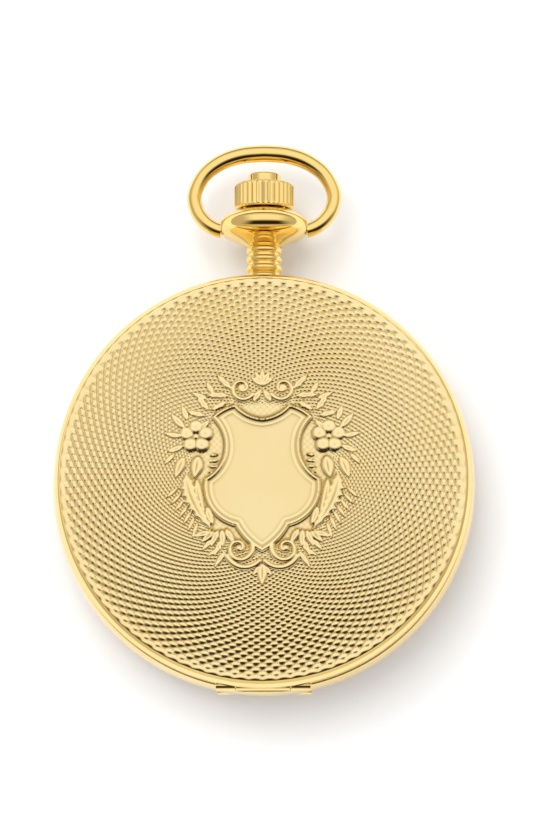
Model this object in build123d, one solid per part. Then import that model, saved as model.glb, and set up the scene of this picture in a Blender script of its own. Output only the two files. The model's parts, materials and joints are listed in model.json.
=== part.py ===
from build123d import *
import math
import os

# Hunter-cased pocket watch, lying on its back cover.
# Frame: millimetres, origin on the case axis at the back cover's resting disc, +Z out
# through the front cover, +Y towards the pendant (12 o'clock), +X towards 3 o'clock.

# ---- case ----
case_r = 24.0
case_thick = 14.0
band_edge_r = case_r - 0.4
band_z0 = 3.8
band_z1 = 9.4
lid_gap = 0.05
cover_inset = 0.55
cover_wall = 0.45
cover_flat_r = 8.0
cover_drop = 1.35
cover_corner = 1.3
bore_r = 18.4
ledge_z = 7.6
flange_seat_r = 19.6
rim_seat_r = 20.4
rim_seat_depth = 0.8
snap_gap = 0.02

# ---- hinges of the two covers ----
hinge_inset = 1.0
knuckle_r = 0.6
knuckle_half = 3.05
hinge_half = 5.3
knuckle_gap = 0.1
hinge_pin_r = 0.3
hinge_fit = 0.03
swing_room = 0.65

# ---- catch under the pendant, and the spring that throws the front cover open ----
catch_pocket_y0 = 20.8
catch_pocket_y1 = 22.75
catch_half = 3.6
catch_room = 0.4
catch_leg_in = 0.85
catch_leg_out = 1.3
catch_lip_z = 0.2
catch_lip_thick = 0.35
lift_groove = (21.3, 22.2)
lift_angles = (-142, -98)
lift_tip_angles = (-104, -101)
lift_floor_z = 8.2

# ---- screws that hold the movement in the band ----
case_screw_angles = (-75, 195)
case_screw_circle = 17.3
case_screw_offset = 0.6
case_screw_head_r = 1.5
case_screw_head_h = 0.4
case_screw_shank_r = 0.4
case_screw_length = 1.4

# ---- glazed rims inside the covers ----
bezel_r = case_r - 1.8
bezel_top = 11.1
bezel_lip_r = 19.4
glass_r = 20.3
glass_z = 10.3
glass_thick = 0.6
glass_dome = 0.4
cuvette_r = case_r - 2.0
cuvette_z = 2.1
back_glass_z = 1.95
back_glass_thick = 0.7
rim_spigot_r = 19.7

# ---- pendant, bow and crown (all turned about the winding axis) ----
stem_z = 6.6
pendant_socket_y = case_r - 1.0
stem_wide_r = 1.3
neck_r = 1.85
neck_ring_r = 2.13
neck_ring_w = 0.6
neck_ring_pitch = 1.0
neck_top_y = case_r + 3.5
bulb_r = 5.25
bulb_mid_y = case_r + 5.9
bulb_top_y = case_r + 7.8
bow_pivot_y = case_r + 5.6
bow_flat_x = 4.9
bow_pivot_r = 0.5
bow_pivot_fit = 0.05
bow_wire_r = 0.87
bow_eye_r = 1.0
crown_r = 3.43
crown_flutes = 36
crown_length = 3.05
crown_lift = 0.1
button_r = 1.88
button_proud = 1.25
button_recess = 1.05
button_gap = 0.07
rod_r = 0.3

# ---- winding stem and keyless works ----
stem_r = 0.7
stem_fit = 0.05
square_side = 0.9
clutch_r = 1.25
clutch_y0 = 13.1
clutch_y1 = 14.95
clutch_groove_y = 14.05
clutch_groove_w = 0.7
winding_pinion_y0 = 15.05
winding_pinion_y1 = 16.2
winding_pinion_teeth = 17
winding_pinion_module = 0.15
groove_y0 = 17.0
groove_y1 = 17.6
groove_r = 0.35
lever_z0 = 7.5
lever_z1 = 7.75

# ---- movement: heights ----
plate_r = 18.3
flange_r = 19.3
plate_z0 = 5.6
plate_z1 = 8.0
bridge_z0 = 3.3
bridge_z1 = 4.6
bridge_r = 17.9
cock_z0 = 3.1
cock_z1 = 4.1
pivot_r = 0.12
arbor_r = 0.25
jewel_r = 0.5
jewel_bore_r = 0.15

# ---- going train ----
barrel_at = (-7.45, 4.84)
barrel_teeth = 84
barrel_module = 0.185
centre_pinion_teeth = 12
centre_teeth = 80
centre_module = 0.13
third_at = (3.376, -4.777)
third_pinion_teeth = 10
third_teeth = 75
third_module = 0.12
fourth_at = (0.0, -8.6)
fourth_pinion_teeth = 10
fourth_teeth = 80
fourth_module = 0.105
escape_at = (4.463, -9.796)
escape_pinion_teeth = 8
escape_teeth = 15
escape_r = 2.9
pallet_at = (6.945, -7.858)
balance_at = (10.65, -4.966)
balance_r = 5.95
balance_clear_r = 6.4
ratchet_teeth = 60
crown_wheel_teeth = 34
ratchet_module = 0.22
crown_wheel_at = (0.0, 12.01)

# ---- motion works under the dial ----
cannon_teeth = 12
minute_wheel_teeth = 36
cannon_module = 0.125
minute_pinion_teeth = 10
hour_teeth = 40
hour_module = 0.12
minute_at = (1.0, 2.828)
idler_at = (0.9, 6.58)
idler_teeth = 24
setting_at = (0.0, 9.832)
setting_teeth = 30

# ---- dial and hands ----
dial_r = 19.0
dial_z0 = 8.05
dial_z1 = 8.4
seconds_r = 3.7
hour_length = 9.8
minute_length = 15.0
seconds_length = 3.1
shown_hour = 10.0
shown_minute = 10.0
shown_second = 35.0

# ---- pockets, studs, screws and pallet stones of the movement ----
fork_pocket_w = 4.4
pocket_floor = 6.75
keyless_z = 7.2
lever_pivot = (3.9, 16.6)
yoke_pivot = (-3.9, 9.6)
lever_stud_r = 0.35
wheel_stud_r = 0.3
bridge_screw_spots = ((-6.5, 15.2), (8.2, 12.5), (-15.6, -0.7))
train_screw_spots = ((-9.5, -8.5), (1.0, -15.3))
cock_foot_at = (13.2, 5.2)
cock_foot_r = 2.9
head_r = 0.85
head_h = 0.45
shank_r = 0.45
crown_boss_r = 4.5
crown_ring = (2.85, 3.7)
click_angle = 120
click_reach = 8.35
pallet_screw_reach = 3.2
stone_reach = 0.15
stone_side = 1.6
stone_size = (0.4, 0.22)
fork_z0 = 6.22
fork_z1 = 6.44

# ---- teeth: shares of a module outside and inside the pitch circle, land as a share of pitch ----
tooth_tip = 0.75
tooth_root = 1.25
tooth_land = 0.06

cover_r = case_r - cover_inset
hinge_y = -(case_r - hinge_inset)
front_hinge_z = band_z1 + lid_gap / 2
back_hinge_z = band_z0 - lid_gap / 2
crown_y0 = bulb_top_y + crown_lift
crown_y1 = crown_y0 + crown_length
button_top = crown_y1 + button_proud
catch_tip_y = cover_r - 1.15
catch_lip_r = cover_r - 1.0
lift_tip = (cover_r - 1.05, cover_r - 0.6)
fork_line = math.atan2(balance_at[1] - escape_at[1], balance_at[0] - escape_at[0])


# ---------------------------------------------------------------- shared shapes
def disc(radius, z0, z1, at=(0.0, 0.0), bore=0.0):
    """Flat disc or ring between two heights."""
    outline = Circle(radius)
    if bore > 0:
        outline -= Circle(bore)
    return slab(outline, z0, z1, at)


def slab(outline, z0, z1, at=(0.0, 0.0)):
    """A flat outline made solid between two heights."""
    return Pos(at[0], at[1], z0) * extrude(outline, z1 - z0)


def block(x0, x1, y0, y1, z0, z1):
    """Rectangular solid between opposite corners."""
    middle = Pos((x0 + x1) / 2, (y0 + y1) / 2, (z0 + z1) / 2)
    return middle * Box(x1 - x0, y1 - y0, z1 - z0)


def rod_x(radius, x0, x1, y, z):
    """Round rod along X."""
    return Pos((x0 + x1) / 2, y, z) * Rot(0, 90, 0) * Cylinder(radius, x1 - x0)


def rod_y(radius, y0, y1, x=0.0, z=stem_z):
    """Round rod along the winding axis."""
    return Pos(x, (y0 + y1) / 2, z) * Rot(90, 0, 0) * Cylinder(radius, y1 - y0)


def turned(points):
    """Closed (radius, z) profile turned about the case axis."""
    return revolve(Plane.XZ * make_face(Polyline(*points, close=True)), Axis.Z)


def turned_stem(lines):
    """Closed (radius, y) profile turned about the winding axis."""
    return Pos(0, 0, stem_z) * revolve(make_face(lines), Axis.Y)


def sector(r0, r1, start, end, z0, z1):
    """Part of a ring between two angles in degrees."""
    outer = CenterArc((0, 0), r1, start, end - start)
    inner = CenterArc((0, 0), r0, start, end - start)
    sides = [Line(outer @ 0, inner @ 0), Line(outer @ 1, inner @ 1)]
    return slab(make_face([outer, inner] + sides), z0, z1)


def tip_radius(teeth, module):
    return module * (teeth / 2 + tooth_tip)


def toothed(teeth, module, phase=0.0):
    """Outline of a toothed wheel with narrow lands and V-shaped gaps; phase is a tooth's angle."""
    pitch = 2 * math.pi / teeth
    tip = tip_radius(teeth, module)
    root = module * (teeth / 2 - tooth_root)
    points = []
    for k in range(teeth):
        tooth = math.radians(phase) + k * pitch
        for radius, turn in ((root, -0.5), (tip, -tooth_land), (tip, tooth_land)):
            angle = tooth + turn * pitch
            points.append((radius * math.cos(angle), radius * math.sin(angle)))
    return make_face(Polyline(*points, close=True))


def meshed(at_1, teeth_1, phase_1, at_2, teeth_2):
    """Phase of the second wheel that puts its gap where the first wheel's tooth is."""
    line = math.degrees(math.atan2(at_2[1] - at_1[1], at_2[0] - at_1[0]))
    pitch_1 = 360 / teeth_1
    pitch_2 = 360 / teeth_2
    share = ((line - phase_1) / pitch_1) % 1
    return line + 180 - pitch_2 * (0.5 - share)


def crossed(outline, rim_r, hub_r, arms, arm_w, turn=0.0):
    """Opens a wheel between its hub and its rim, leaving its arms."""
    windows = Circle(rim_r) - Circle(hub_r)
    for k in range(arms):
        arm = Pos(rim_r / 2, 0) * Rectangle(rim_r * 1.2, arm_w)
        windows -= Rot(0, 0, turn + 360 * k / arms) * arm
    return outline - windows


def spiral(r0, pitch, turns, wall):
    """Outline of a coiled strip made of half circles."""
    side_a = []
    side_b = []
    centre = 0.0
    radius = r0
    for k in range(2 * turns):
        start = 0 if k % 2 == 0 else 180
        side_a.append(CenterArc((centre, 0), radius + wall / 2, start, 180))
        side_b.append(CenterArc((centre, 0), radius - wall / 2, start, 180))
        shift = pitch / 2 if k % 2 == 0 else -pitch / 2
        radius += pitch / 2
        centre += shift
    ends = [Line(side_a[0] @ 0, side_b[0] @ 0), Line(side_a[-1] @ 1, side_b[-1] @ 1)]
    return make_face(side_a + side_b + ends)


def screw(at, seat, head_r, head_h, shank_r, length):
    """Slotted screw driven in from the back: head below its seat height, shank above."""
    body = disc(head_r, seat - head_h, seat, at) + disc(shank_r, seat, seat + length, at)
    slot = Pos(at[0], at[1], seat - head_h) * Box(2.2 * head_r, 0.28 * head_r, 0.7 * head_h)
    return body - slot


def capsule(start, end, r_start, r_end):
    """Outline of a tapered arm with round ends."""
    ends = (Pos(*start) * Circle(r_start)) + (Pos(*end) * Circle(r_end))
    return make_hull(ends.edges())


def toward(start, angle, distance):
    return (start[0] + distance * math.cos(angle), start[1] + distance * math.sin(angle))


click_at = toward(barrel_at, math.radians(click_angle), click_reach)
pallet_screw_at = toward(pallet_at, fork_line - math.pi / 2, pallet_screw_reach)


# ---------------------------------------------------------------- the covers
def cover_body(radius, height, corner):
    """Solid under a cover's skin: rim at z = 0, flat middle at z = height."""
    rim = (radius, height - cover_drop)
    middle = Line((0, height), (cover_flat_r, height))
    dome = TangentArc((cover_flat_r, height), rim, tangent=(1, 0))
    rest = Polyline(rim, (radius, 0), (0, 0), (0, height))
    face = make_face([middle, dome, rest])
    edge = face.vertices().group_by(Axis.X)[-1].sort_by(Axis.Y)[-1]
    return revolve(Plane.XZ * fillet(edge, corner), Axis.Z)


def cover_shell(height):
    """A cover as a bowl open downwards."""
    outer = cover_body(cover_r, height, cover_corner)
    inner = cover_body(cover_r - cover_wall, height - cover_wall, cover_corner - cover_wall)
    return outer - inner


def rods_x(radius, inner, outer, y, z):
    """Two rods along X, one each side of the middle."""
    return rod_x(radius, inner, outer, y, z) + rod_x(radius, -outer, -inner, y, z)


def hinged(shell, hinge_z):
    """Adds a cover's middle knuckle and clears the band's two."""
    shell += rod_x(knuckle_r, -knuckle_half, knuckle_half, hinge_y, hinge_z)
    shell -= rods_x(knuckle_r + knuckle_gap, knuckle_half, hinge_half + knuckle_gap, hinge_y, hinge_z)
    return shell - rod_x(hinge_pin_r + hinge_fit, -hinge_half, hinge_half, hinge_y, hinge_z)


def front_cover():
    height = case_thick - band_z1 - lid_gap
    shell = Pos(0, 0, band_z1 + lid_gap) * cover_shell(height)
    lip_z = band_z1 + catch_lip_z
    shell += sector(catch_lip_r, cover_r - cover_wall / 2, 86, 94, lip_z, lip_z + catch_lip_thick)
    return hinged(shell, front_hinge_z)


def back_cover():
    height = band_z0 - lid_gap
    shell = Pos(0, 0, height) * Rot(180, 0, 0) * cover_shell(height)
    return hinged(shell, back_hinge_z)


def hinge_pin(hinge_z):
    return rod_x(hinge_pin_r, -hinge_half, hinge_half, hinge_y, hinge_z)


# ---------------------------------------------------------------- the band
def band():
    profile = [
        Polyline((band_edge_r, band_z0), (rim_seat_r, band_z0), (rim_seat_r, band_z0 + rim_seat_depth),
                 (bore_r, band_z0 + rim_seat_depth), (bore_r, ledge_z), (flange_seat_r, ledge_z),
                 (flange_seat_r, band_z1 - rim_seat_depth), (rim_seat_r, band_z1 - rim_seat_depth),
                 (rim_seat_r, band_z1), (band_edge_r, band_z1)),
        ThreePointArc((band_edge_r, band_z1), (case_r, (band_z0 + band_z1) / 2), (band_edge_r, band_z0)),
    ]
    body = revolve(Plane.XZ * make_face(profile), Axis.Z)
    middle = knuckle_half + knuckle_gap
    body -= block(-middle, middle, -case_r - 0.1, hinge_y, front_hinge_z - swing_room, band_z1)
    body -= block(-middle, middle, -case_r - 0.1, hinge_y, band_z0, back_hinge_z + swing_room)
    for hinge_z in (front_hinge_z, back_hinge_z):
        body -= rod_x(knuckle_r + knuckle_gap, -middle, middle, hinge_y, hinge_z)
        body += rods_x(knuckle_r, middle, hinge_half, hinge_y, hinge_z)
        body -= rod_x(hinge_pin_r, -hinge_half, hinge_half, hinge_y, hinge_z)
    body -= rod_y(neck_ring_r, pendant_socket_y, case_r + 1)
    body -= rod_y(stem_r + 2 * stem_fit, bore_r - 1, case_r)
    body -= rod_y(stem_wide_r, catch_pocket_y0 + 0.6, case_r)
    pocket = catch_half + catch_room
    body -= block(-pocket, pocket, catch_pocket_y0, catch_pocket_y1, ledge_z - 0.2, band_z1)
    leg = catch_leg_out + 0.15
    body -= block(-leg, leg, catch_pocket_y0 + 0.4, catch_pocket_y1, stem_z - 0.6, ledge_z)
    for angle in case_screw_angles:
        at = toward((0, 0), math.radians(angle), case_screw_circle)
        body -= disc(case_screw_head_r + 0.1, band_z0 + rim_seat_depth, plate_z0, at)
    body -= sector(*lift_groove, *lift_angles, lift_floor_z, band_z1)
    body -= sector(lift_groove[1] - 0.1, lift_tip[1] + 0.1, lift_tip_angles[0] - 9, lift_angles[1],
                   lift_floor_z, band_z1)
    return body


def pendant_neck():
    """Turned neck with three rings, spigot end in the band."""
    bore = stem_r + stem_fit
    outline = [(bore, pendant_socket_y), (neck_ring_r, pendant_socket_y),
               (neck_ring_r, case_r + 0.1), (neck_r, case_r + 0.25)]
    for k in range(3):
        y = case_r + 0.5 + k * neck_ring_pitch
        outline.append((neck_r, y))
        outline.append((neck_ring_r, y + 0.15))
        outline.append((neck_ring_r, y + neck_ring_w - 0.15))
        outline.append((neck_r, y + neck_ring_w))
    outline.append((neck_r, neck_top_y))
    outline.append((bore, neck_top_y))
    neck = turned_stem([Polyline(*outline, close=True)])
    return neck - rod_y(stem_wide_r, pendant_socket_y, case_r + 0.3)


def pendant():
    """Neck and flattened ball, bored for the stem, with a flat and a pivot hole on each side."""
    bore = stem_r + stem_fit
    foot = (neck_r, neck_top_y)
    brow = (bulb_r - 2.4, bulb_top_y)
    cheek = (bulb_r - 1.65, bulb_mid_y - 1.5)
    crest = (bulb_r - 0.95, bulb_top_y - 0.6)
    lines = [
        Spline(foot, cheek, (bulb_r, bulb_mid_y), crest, brow),
        Polyline(brow, (bore, bulb_top_y), (bore, neck_top_y), foot),
    ]
    body = turned_stem(lines)
    body &= block(-bow_flat_x, bow_flat_x, neck_top_y, bulb_top_y, 0, 2 * stem_z)
    for side in (-1, 1):
        inner = side * (bow_flat_x - 0.9)
        outer = side * (bow_flat_x + 0.5)
        body -= rod_x(bow_pivot_r + bow_pivot_fit, min(inner, outer), max(inner, outer), bow_pivot_y, stem_z)
    return body + pendant_neck()


def bow():
    """Bent wire ring with an eye and a pivot at each end, upright in the plane of the watch."""
    path = [TangentArc((0, 9.15), (4.9, 8.2), tangent=(1, 0))]
    for point in ((7.75, 5.2), (7.6, 2.9), (5.95, 0.15)):
        path.append(TangentArc(path[-1] @ 1, point, tangent=path[-1] % 1))
    half = Wire(path)
    start = Plane(origin=half @ 0, z_dir=half % 0)
    wire = sweep(start * Circle(bow_wire_r), path=half)
    wire = Pos(0, bow_pivot_y, stem_z) * wire
    wire += rod_x(bow_eye_r, bow_flat_x + bow_pivot_fit, bow_flat_x + 1.3, bow_pivot_y, stem_z)
    wire += rod_x(bow_pivot_r, bow_flat_x - 0.8, bow_flat_x + 0.5, bow_pivot_y, stem_z)
    return wire + mirror(wire, Plane.YZ)


# ---------------------------------------------------------------- glazed rims
def front_bezel():
    seat_z = band_z1 - rim_seat_depth + 0.05
    ring = turned([(rim_spigot_r, seat_z), (rim_seat_r - snap_gap, seat_z), (rim_seat_r - snap_gap, band_z1),
                   (bezel_r, band_z1), (bezel_r, bezel_top - 0.9), (bezel_r - 0.5, bezel_top - 0.2),
                   (glass_r + 0.9, bezel_top), (glass_r, bezel_top), (glass_r, glass_z),
                   (bezel_lip_r, glass_z), (bezel_lip_r, band_z1), (rim_spigot_r, band_z1)])
    notch_z = band_z1 + 1.0
    ring -= block(-1.5, 1.5, catch_pocket_y0 - 0.15, bezel_r + 1, band_z1 - 1, notch_z)
    return ring


def crystal():
    edge = (glass_r, glass_z + glass_thick)
    top = (0, glass_z + glass_thick + glass_dome)
    profile = [
        TangentArc(top, edge, tangent=(1, 0)),
        Polyline(edge, (glass_r, glass_z), (0, glass_z), top),
    ]
    return revolve(Plane.XZ * make_face(profile), Axis.Z)


def cuvette_ring():
    seat_z = band_z0 + rim_seat_depth - 0.05
    return turned([(rim_spigot_r, seat_z), (rim_seat_r - snap_gap, seat_z), (rim_seat_r - snap_gap, band_z0),
                   (cuvette_r, band_z0), (cuvette_r, cuvette_z + 0.5), (cuvette_r - 0.5, cuvette_z),
                   (glass_r, cuvette_z - 0.1), (glass_r, back_glass_z + back_glass_thick),
                   (bezel_lip_r, back_glass_z + back_glass_thick), (bezel_lip_r, band_z0),
                   (rim_spigot_r, band_z0)])


def cuvette_glass():
    return disc(glass_r, back_glass_z, back_glass_z + back_glass_thick)


# ---------------------------------------------------------------- catch, lift spring, case screws
def release_catch():
    strip = block(-catch_half, catch_half, 21.45, 22.0, ledge_z - 0.1, band_z1 - 0.1)
    strip += block(-1.2, 1.2, 21.45, catch_tip_y, band_z1 - 0.3, band_z1 + 0.7)
    for side in (-1, 1):
        x0 = side * catch_leg_in
        x1 = side * catch_leg_out
        strip += block(min(x0, x1), max(x0, x1), 21.75, 22.05, stem_z - 0.4, ledge_z + 0.3)
    return strip


def lift_spring():
    inner = lift_groove[0] + 0.2
    foot = lift_floor_z + 0.2
    strip = sector(inner, lift_groove[1] - 0.2, lift_angles[0] + 1, lift_angles[1] - 1,
                   lift_floor_z + 0.1, band_z1 - 0.1)
    strip += sector(inner, lift_tip[1], *lift_tip_angles, foot, band_z1 - 0.1)
    return strip + sector(*lift_tip, *lift_tip_angles, foot, band_z1 + 0.45)


def case_screws():
    group = Part()
    for angle in case_screw_angles:
        at = toward((0, 0), math.radians(angle), case_screw_circle)
        shank_at = toward((0, 0), math.radians(angle), case_screw_circle - case_screw_offset)
        head = disc(case_screw_head_r, plate_z0 - case_screw_head_h, plate_z0, at)
        head -= Pos(at[0], at[1], plate_z0 - case_screw_head_h) * Box(4, 0.35, 0.3)
        group += head + disc(case_screw_shank_r, plate_z0, plate_z0 + case_screw_length, shank_at)
    return group


# ---------------------------------------------------------------- crown, stem, release button
def crown():
    flutes = toothed(crown_flutes, crown_r / (crown_flutes / 2 + tooth_tip), 0)
    body = Pos(0, crown_y1, stem_z) * Rot(90, 0, 0) * extrude(flutes, crown_length)
    chamfer_w = 0.35
    inner_r = stem_r
    envelope = turned_stem([Polyline(
        (inner_r, crown_y0 + 0.7), (2.9, crown_y0 + 0.7), (2.9, crown_y0), (crown_r - chamfer_w, crown_y0),
        (crown_r, crown_y0 + chamfer_w), (crown_r, crown_y1 - chamfer_w), (crown_r - chamfer_w, crown_y1),
        (button_r + button_gap, crown_y1), (button_r + button_gap, crown_y1 - button_recess),
        (inner_r, crown_y1 - button_recess),
        close=True)])
    return body & envelope


def winding_stem():
    bore_y = catch_pocket_y0 + 0.5
    top_y = crown_y1 - button_recess
    body = rod_y(0.4, 9.9, 11.9)
    body += block(-square_side / 2, square_side / 2, 11.9, 15.0,
                  stem_z - square_side / 2, stem_z + square_side / 2)
    body += rod_y(stem_r - 0.08, 15.0, groove_y0)
    body += rod_y(groove_r, groove_y0, groove_y1)
    body += rod_y(stem_r - 0.08, groove_y1, 18.4)
    body += rod_y(stem_r, 18.4, top_y)
    body -= rod_y(rod_r + 0.06, bore_y, top_y)
    return body - block(-0.8, 0.8, bore_y, 22.55, stem_z - 0.17, stem_z + 0.17)


def release_button():
    under = crown_y1 - 0.2
    shoulder = (button_r, button_top - 0.5)
    dome = TangentArc((0, button_top), (button_r - 0.4, button_top - 0.13), tangent=(1, 0))
    lines = [
        dome,
        TangentArc(dome @ 1, shoulder, tangent=dome % 1),
        Polyline(shoulder, (button_r, under), (0, under), (0, button_top)),
    ]
    body = turned_stem(lines)
    body += rod_y(rod_r, 22.15, under + 0.1)
    return body + rod_x(0.12, -1.15, 1.15, 22.35, stem_z)


# ---------------------------------------------------------------- keyless works
def winding_pinion():
    teeth = toothed(winding_pinion_teeth, winding_pinion_module) - Circle(stem_r - 0.04)
    length = winding_pinion_y1 - winding_pinion_y0
    return Pos(0, winding_pinion_y1, stem_z) * Rot(90, 0, 0) * extrude(teeth, length)


def sliding_pinion():
    body = rod_y(clutch_r, clutch_y0, clutch_y1)
    groove = rod_y(clutch_r + 1, clutch_groove_y - clutch_groove_w / 2, clutch_groove_y + clutch_groove_w / 2)
    body -= groove - rod_y(clutch_r - 0.4, 0, 20)
    side = square_side + 0.04
    body -= block(-side / 2, side / 2, 0, 20, stem_z - side / 2, stem_z + side / 2)
    for k in range(8):
        notch = Pos(0, clutch_y0, 0) * Box(0.3, 0.36, 2 * clutch_r + 1)
        ring = Pos(0, 0, stem_z) * Rot(0, 22.5 * k, 0) * notch
        body -= ring
    return body


def setting_lever():
    tip = (0.0, (groove_y0 + groove_y1) / 2)
    body = slab(capsule(lever_pivot, tip, 0.75, 0.34), lever_z0, lever_z1)
    body += disc(0.15, stem_z + groove_r + 0.05, lever_z0, tip)
    return body - disc(lever_stud_r + 0.03, lever_z0, lever_z1, lever_pivot)


def yoke():
    elbow = (-2.6, clutch_groove_y)
    body = slab(capsule(yoke_pivot, elbow, 0.75, 0.3), lever_z0, lever_z1)
    body += slab(capsule(elbow, (0.3, clutch_groove_y), 0.12, 0.12), lever_z0, lever_z1)
    return body - disc(lever_stud_r + 0.03, lever_z0, lever_z1, yoke_pivot)


# ---------------------------------------------------------------- main plate
def pallet_bar(length_up, length_down, half_width):
    """Bar lying across the escapement line at the pallet arbor."""
    bar = Pos(0, (length_up - length_down) / 2) * Rectangle(2 * half_width, length_up + length_down)
    return Pos(*pallet_at) * Rot(0, 0, math.degrees(fork_line)) * bar


def main_plate():
    body = disc(plate_r, plate_z0, plate_z1) + disc(flange_r, ledge_z, plate_z1)
    body -= disc(8.1, plate_z0, 7.15, barrel_at)
    body -= disc(0.75, plate_z1, 7.15, barrel_at)
    body -= disc(1.5, plate_z0, 7.1)
    body -= disc(0.55, plate_z0, plate_z1)
    body -= disc(4.5, plate_z0, 6.1, fourth_at)
    body -= disc(3.2, plate_z0, pocket_floor, escape_at)
    across = Rot(0, 0, math.degrees(fork_line))
    pocket = Pos(*pallet_at) * across * Pos(1.0, 0) * Rectangle(6.4, fork_pocket_w)
    body -= slab(pocket, plate_z0, pocket_floor)
    body -= slab(pallet_bar(3.02, 4.02, 0.87), plate_z0, 6.0)
    body -= disc(1.6, plate_z0, pocket_floor, balance_at)
    for at in (third_at, fourth_at, escape_at, pallet_at, balance_at):
        body -= disc(arbor_r + 0.15, plate_z0, 7.3, at)
        body -= disc(jewel_r, 7.3, plate_z1, at)
    body -= block(-1.9, 1.9, 11.8, 16.9, plate_z0, plate_z1)
    body -= rod_y(stem_r, 16.5, plate_r + 0.2)
    body -= rod_y(0.45, 9.7, 12.3)
    body -= block(-5.4, 5.4, 8.6, 18.4, keyless_z, plate_z1)
    body -= disc(2.15, keyless_z, plate_z1, setting_at)
    body -= disc(2.75, keyless_z, plate_z1)
    body -= disc(2.6, keyless_z, plate_z1, minute_at)
    body -= disc(1.85, keyless_z, plate_z1, idler_at)
    for at in (lever_pivot, yoke_pivot):
        body += disc(lever_stud_r, keyless_z - 0.1, lever_z1, at)
    for at in (minute_at, idler_at, setting_at):
        body += disc(wheel_stud_r, keyless_z - 0.1, 7.6, at)
    for at in bridge_screw_spots + train_screw_spots + (cock_foot_at,):
        body -= disc(shank_r, plate_z0, 7.0, at)
    body -= disc(0.3, plate_z0, 6.9, pallet_screw_at)
    for angle in case_screw_angles:
        at = toward((0, 0), math.radians(angle), case_screw_circle - case_screw_offset)
        body -= disc(case_screw_shank_r, plate_z0, plate_z0 + case_screw_length, at)
    return body


# ---------------------------------------------------------------- bridges
def bridge_base(corners, z0, z1):
    outline = make_face(Polyline(*corners, close=True)) & Circle(bridge_r)
    return slab(outline, z0, z1)


def barrel_bridge():
    corners = ((-18, -2.2), (2.5, -2.2), (6.2, 1.2), (9.3, 4.0), (9.9, 8.6), (13.0, 13.5), (10, 19),
               (-18, 19))
    body = bridge_base(corners, bridge_z0, bridge_z1)
    for at, foot_r in zip(bridge_screw_spots, (1.7, 2.2, 1.3)):
        foot_z = bridge_z1 - 0.1
        body += disc(foot_r, foot_z, plate_z0, at) & bridge_base(corners, foot_z, plate_z0)
    body += disc(crown_boss_r, bridge_z1 - 0.1, 5.5, crown_wheel_at)
    body -= disc(8.1, bridge_z1, plate_z0, barrel_at)
    body -= disc(6.95, bridge_z0, 3.85, barrel_at)
    body -= disc(4.08, bridge_z0, 3.85, crown_wheel_at)
    body -= disc(crown_ring[1] + 0.25, bridge_z0, 5.17, crown_wheel_at, crown_ring[0] - 0.12)
    body -= block(-2.0, 2.0, 11.8, 19, 5.17, plate_z0)
    body -= block(-2.0, 2.0, 14.6, 17.4, bridge_z1 - 0.2, plate_z0)
    body -= disc(2.7, bridge_z0, 3.85, click_at)
    body -= disc(0.4, bridge_z0, bridge_z1, click_at)
    body -= disc(1.0, bridge_z0, plate_z0, barrel_at)
    body -= disc(0.6, bridge_z0, 5.0, crown_wheel_at)
    body -= disc(jewel_r, bridge_z0, bridge_z1)
    for at in bridge_screw_spots:
        body -= disc(0.5, bridge_z0, plate_z0, at) + disc(head_r + 0.06, bridge_z0, bridge_z0 + head_h, at)
    return body


def train_bridge():
    corners = ((-13.4, -2.5), (1.9, -2.5), (4.6, -2.9), (5.4, -7.0), (8.2, -12.2), (3.0, -13.2), (3.2, -19),
               (-6, -19), (-13.4, -9))
    body = bridge_base(corners, bridge_z0, bridge_z1)
    body -= disc(balance_clear_r, bridge_z0, bridge_z1, balance_at)
    for at, foot_r in zip(train_screw_spots, (2.4, 1.6)):
        body += disc(foot_r, bridge_z1 - 0.1, plate_z0, at)
    for at in (third_at, fourth_at, escape_at):
        body -= disc(jewel_r, bridge_z0, bridge_z1, at)
    for at in train_screw_spots:
        body -= disc(0.5, bridge_z0, plate_z0, at) + disc(head_r + 0.06, bridge_z0, bridge_z0 + head_h, at)
    return body


def balance_cock():
    arm = capsule(cock_foot_at, balance_at, cock_foot_r, 1.9)
    body = slab(arm, cock_z0, cock_z1) + disc(cock_foot_r, cock_z1 - 0.1, plate_z0, cock_foot_at)
    body -= disc(jewel_r, cock_z0, cock_z1, balance_at)
    body -= disc(0.5, cock_z0, plate_z0, cock_foot_at)
    return body - disc(head_r + 0.06, cock_z0, cock_z0 + head_h, cock_foot_at)


def pallet_bridge():
    body = slab(pallet_bar(3.0, 4.0, 0.85), 5.65, 6.0)
    body -= disc(jewel_r * 0.8, 5.65, 6.0, pallet_at)
    return body - disc(0.33, 5.65, 6.0, pallet_screw_at)


def bridge_screws():
    group = Part()
    for at in bridge_screw_spots + train_screw_spots:
        group += screw(at, bridge_z0 + head_h, head_r, head_h, shank_r, 3.2)
    group += screw(cock_foot_at, cock_z0 + head_h, head_r, head_h, shank_r, 3.2)
    return group + screw(pallet_screw_at, 5.65, 0.55, 0.25, 0.3, 1.2)


def jewels():
    """Ruby bearings: pivot holes in the bridges and in the plate."""
    group = Part()
    for at in (third_at, fourth_at, escape_at, (0.0, 0.0)):
        bore = 0.33 if at == (0.0, 0.0) else jewel_bore_r
        group += disc(jewel_r, bridge_z0 + 0.1, bridge_z0 + 0.6, at, bore)
    for at in (third_at, escape_at, pallet_at, balance_at):
        group += disc(jewel_r, 7.35, 7.75, at, jewel_bore_r)
    group += disc(jewel_r, 7.35, 7.75, fourth_at, arbor_r + 0.03)
    group += disc(jewel_r * 0.8, 5.7, 6.0, pallet_at, jewel_bore_r)
    return group + disc(jewel_r, cock_z0 + 0.3, cock_z0 + 0.7, balance_at, jewel_bore_r)


# ---------------------------------------------------------------- barrel and winding wheels
ratchet_phase = 0.0
crown_wheel_phase = meshed(barrel_at, ratchet_teeth, ratchet_phase, crown_wheel_at, crown_wheel_teeth)


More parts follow.
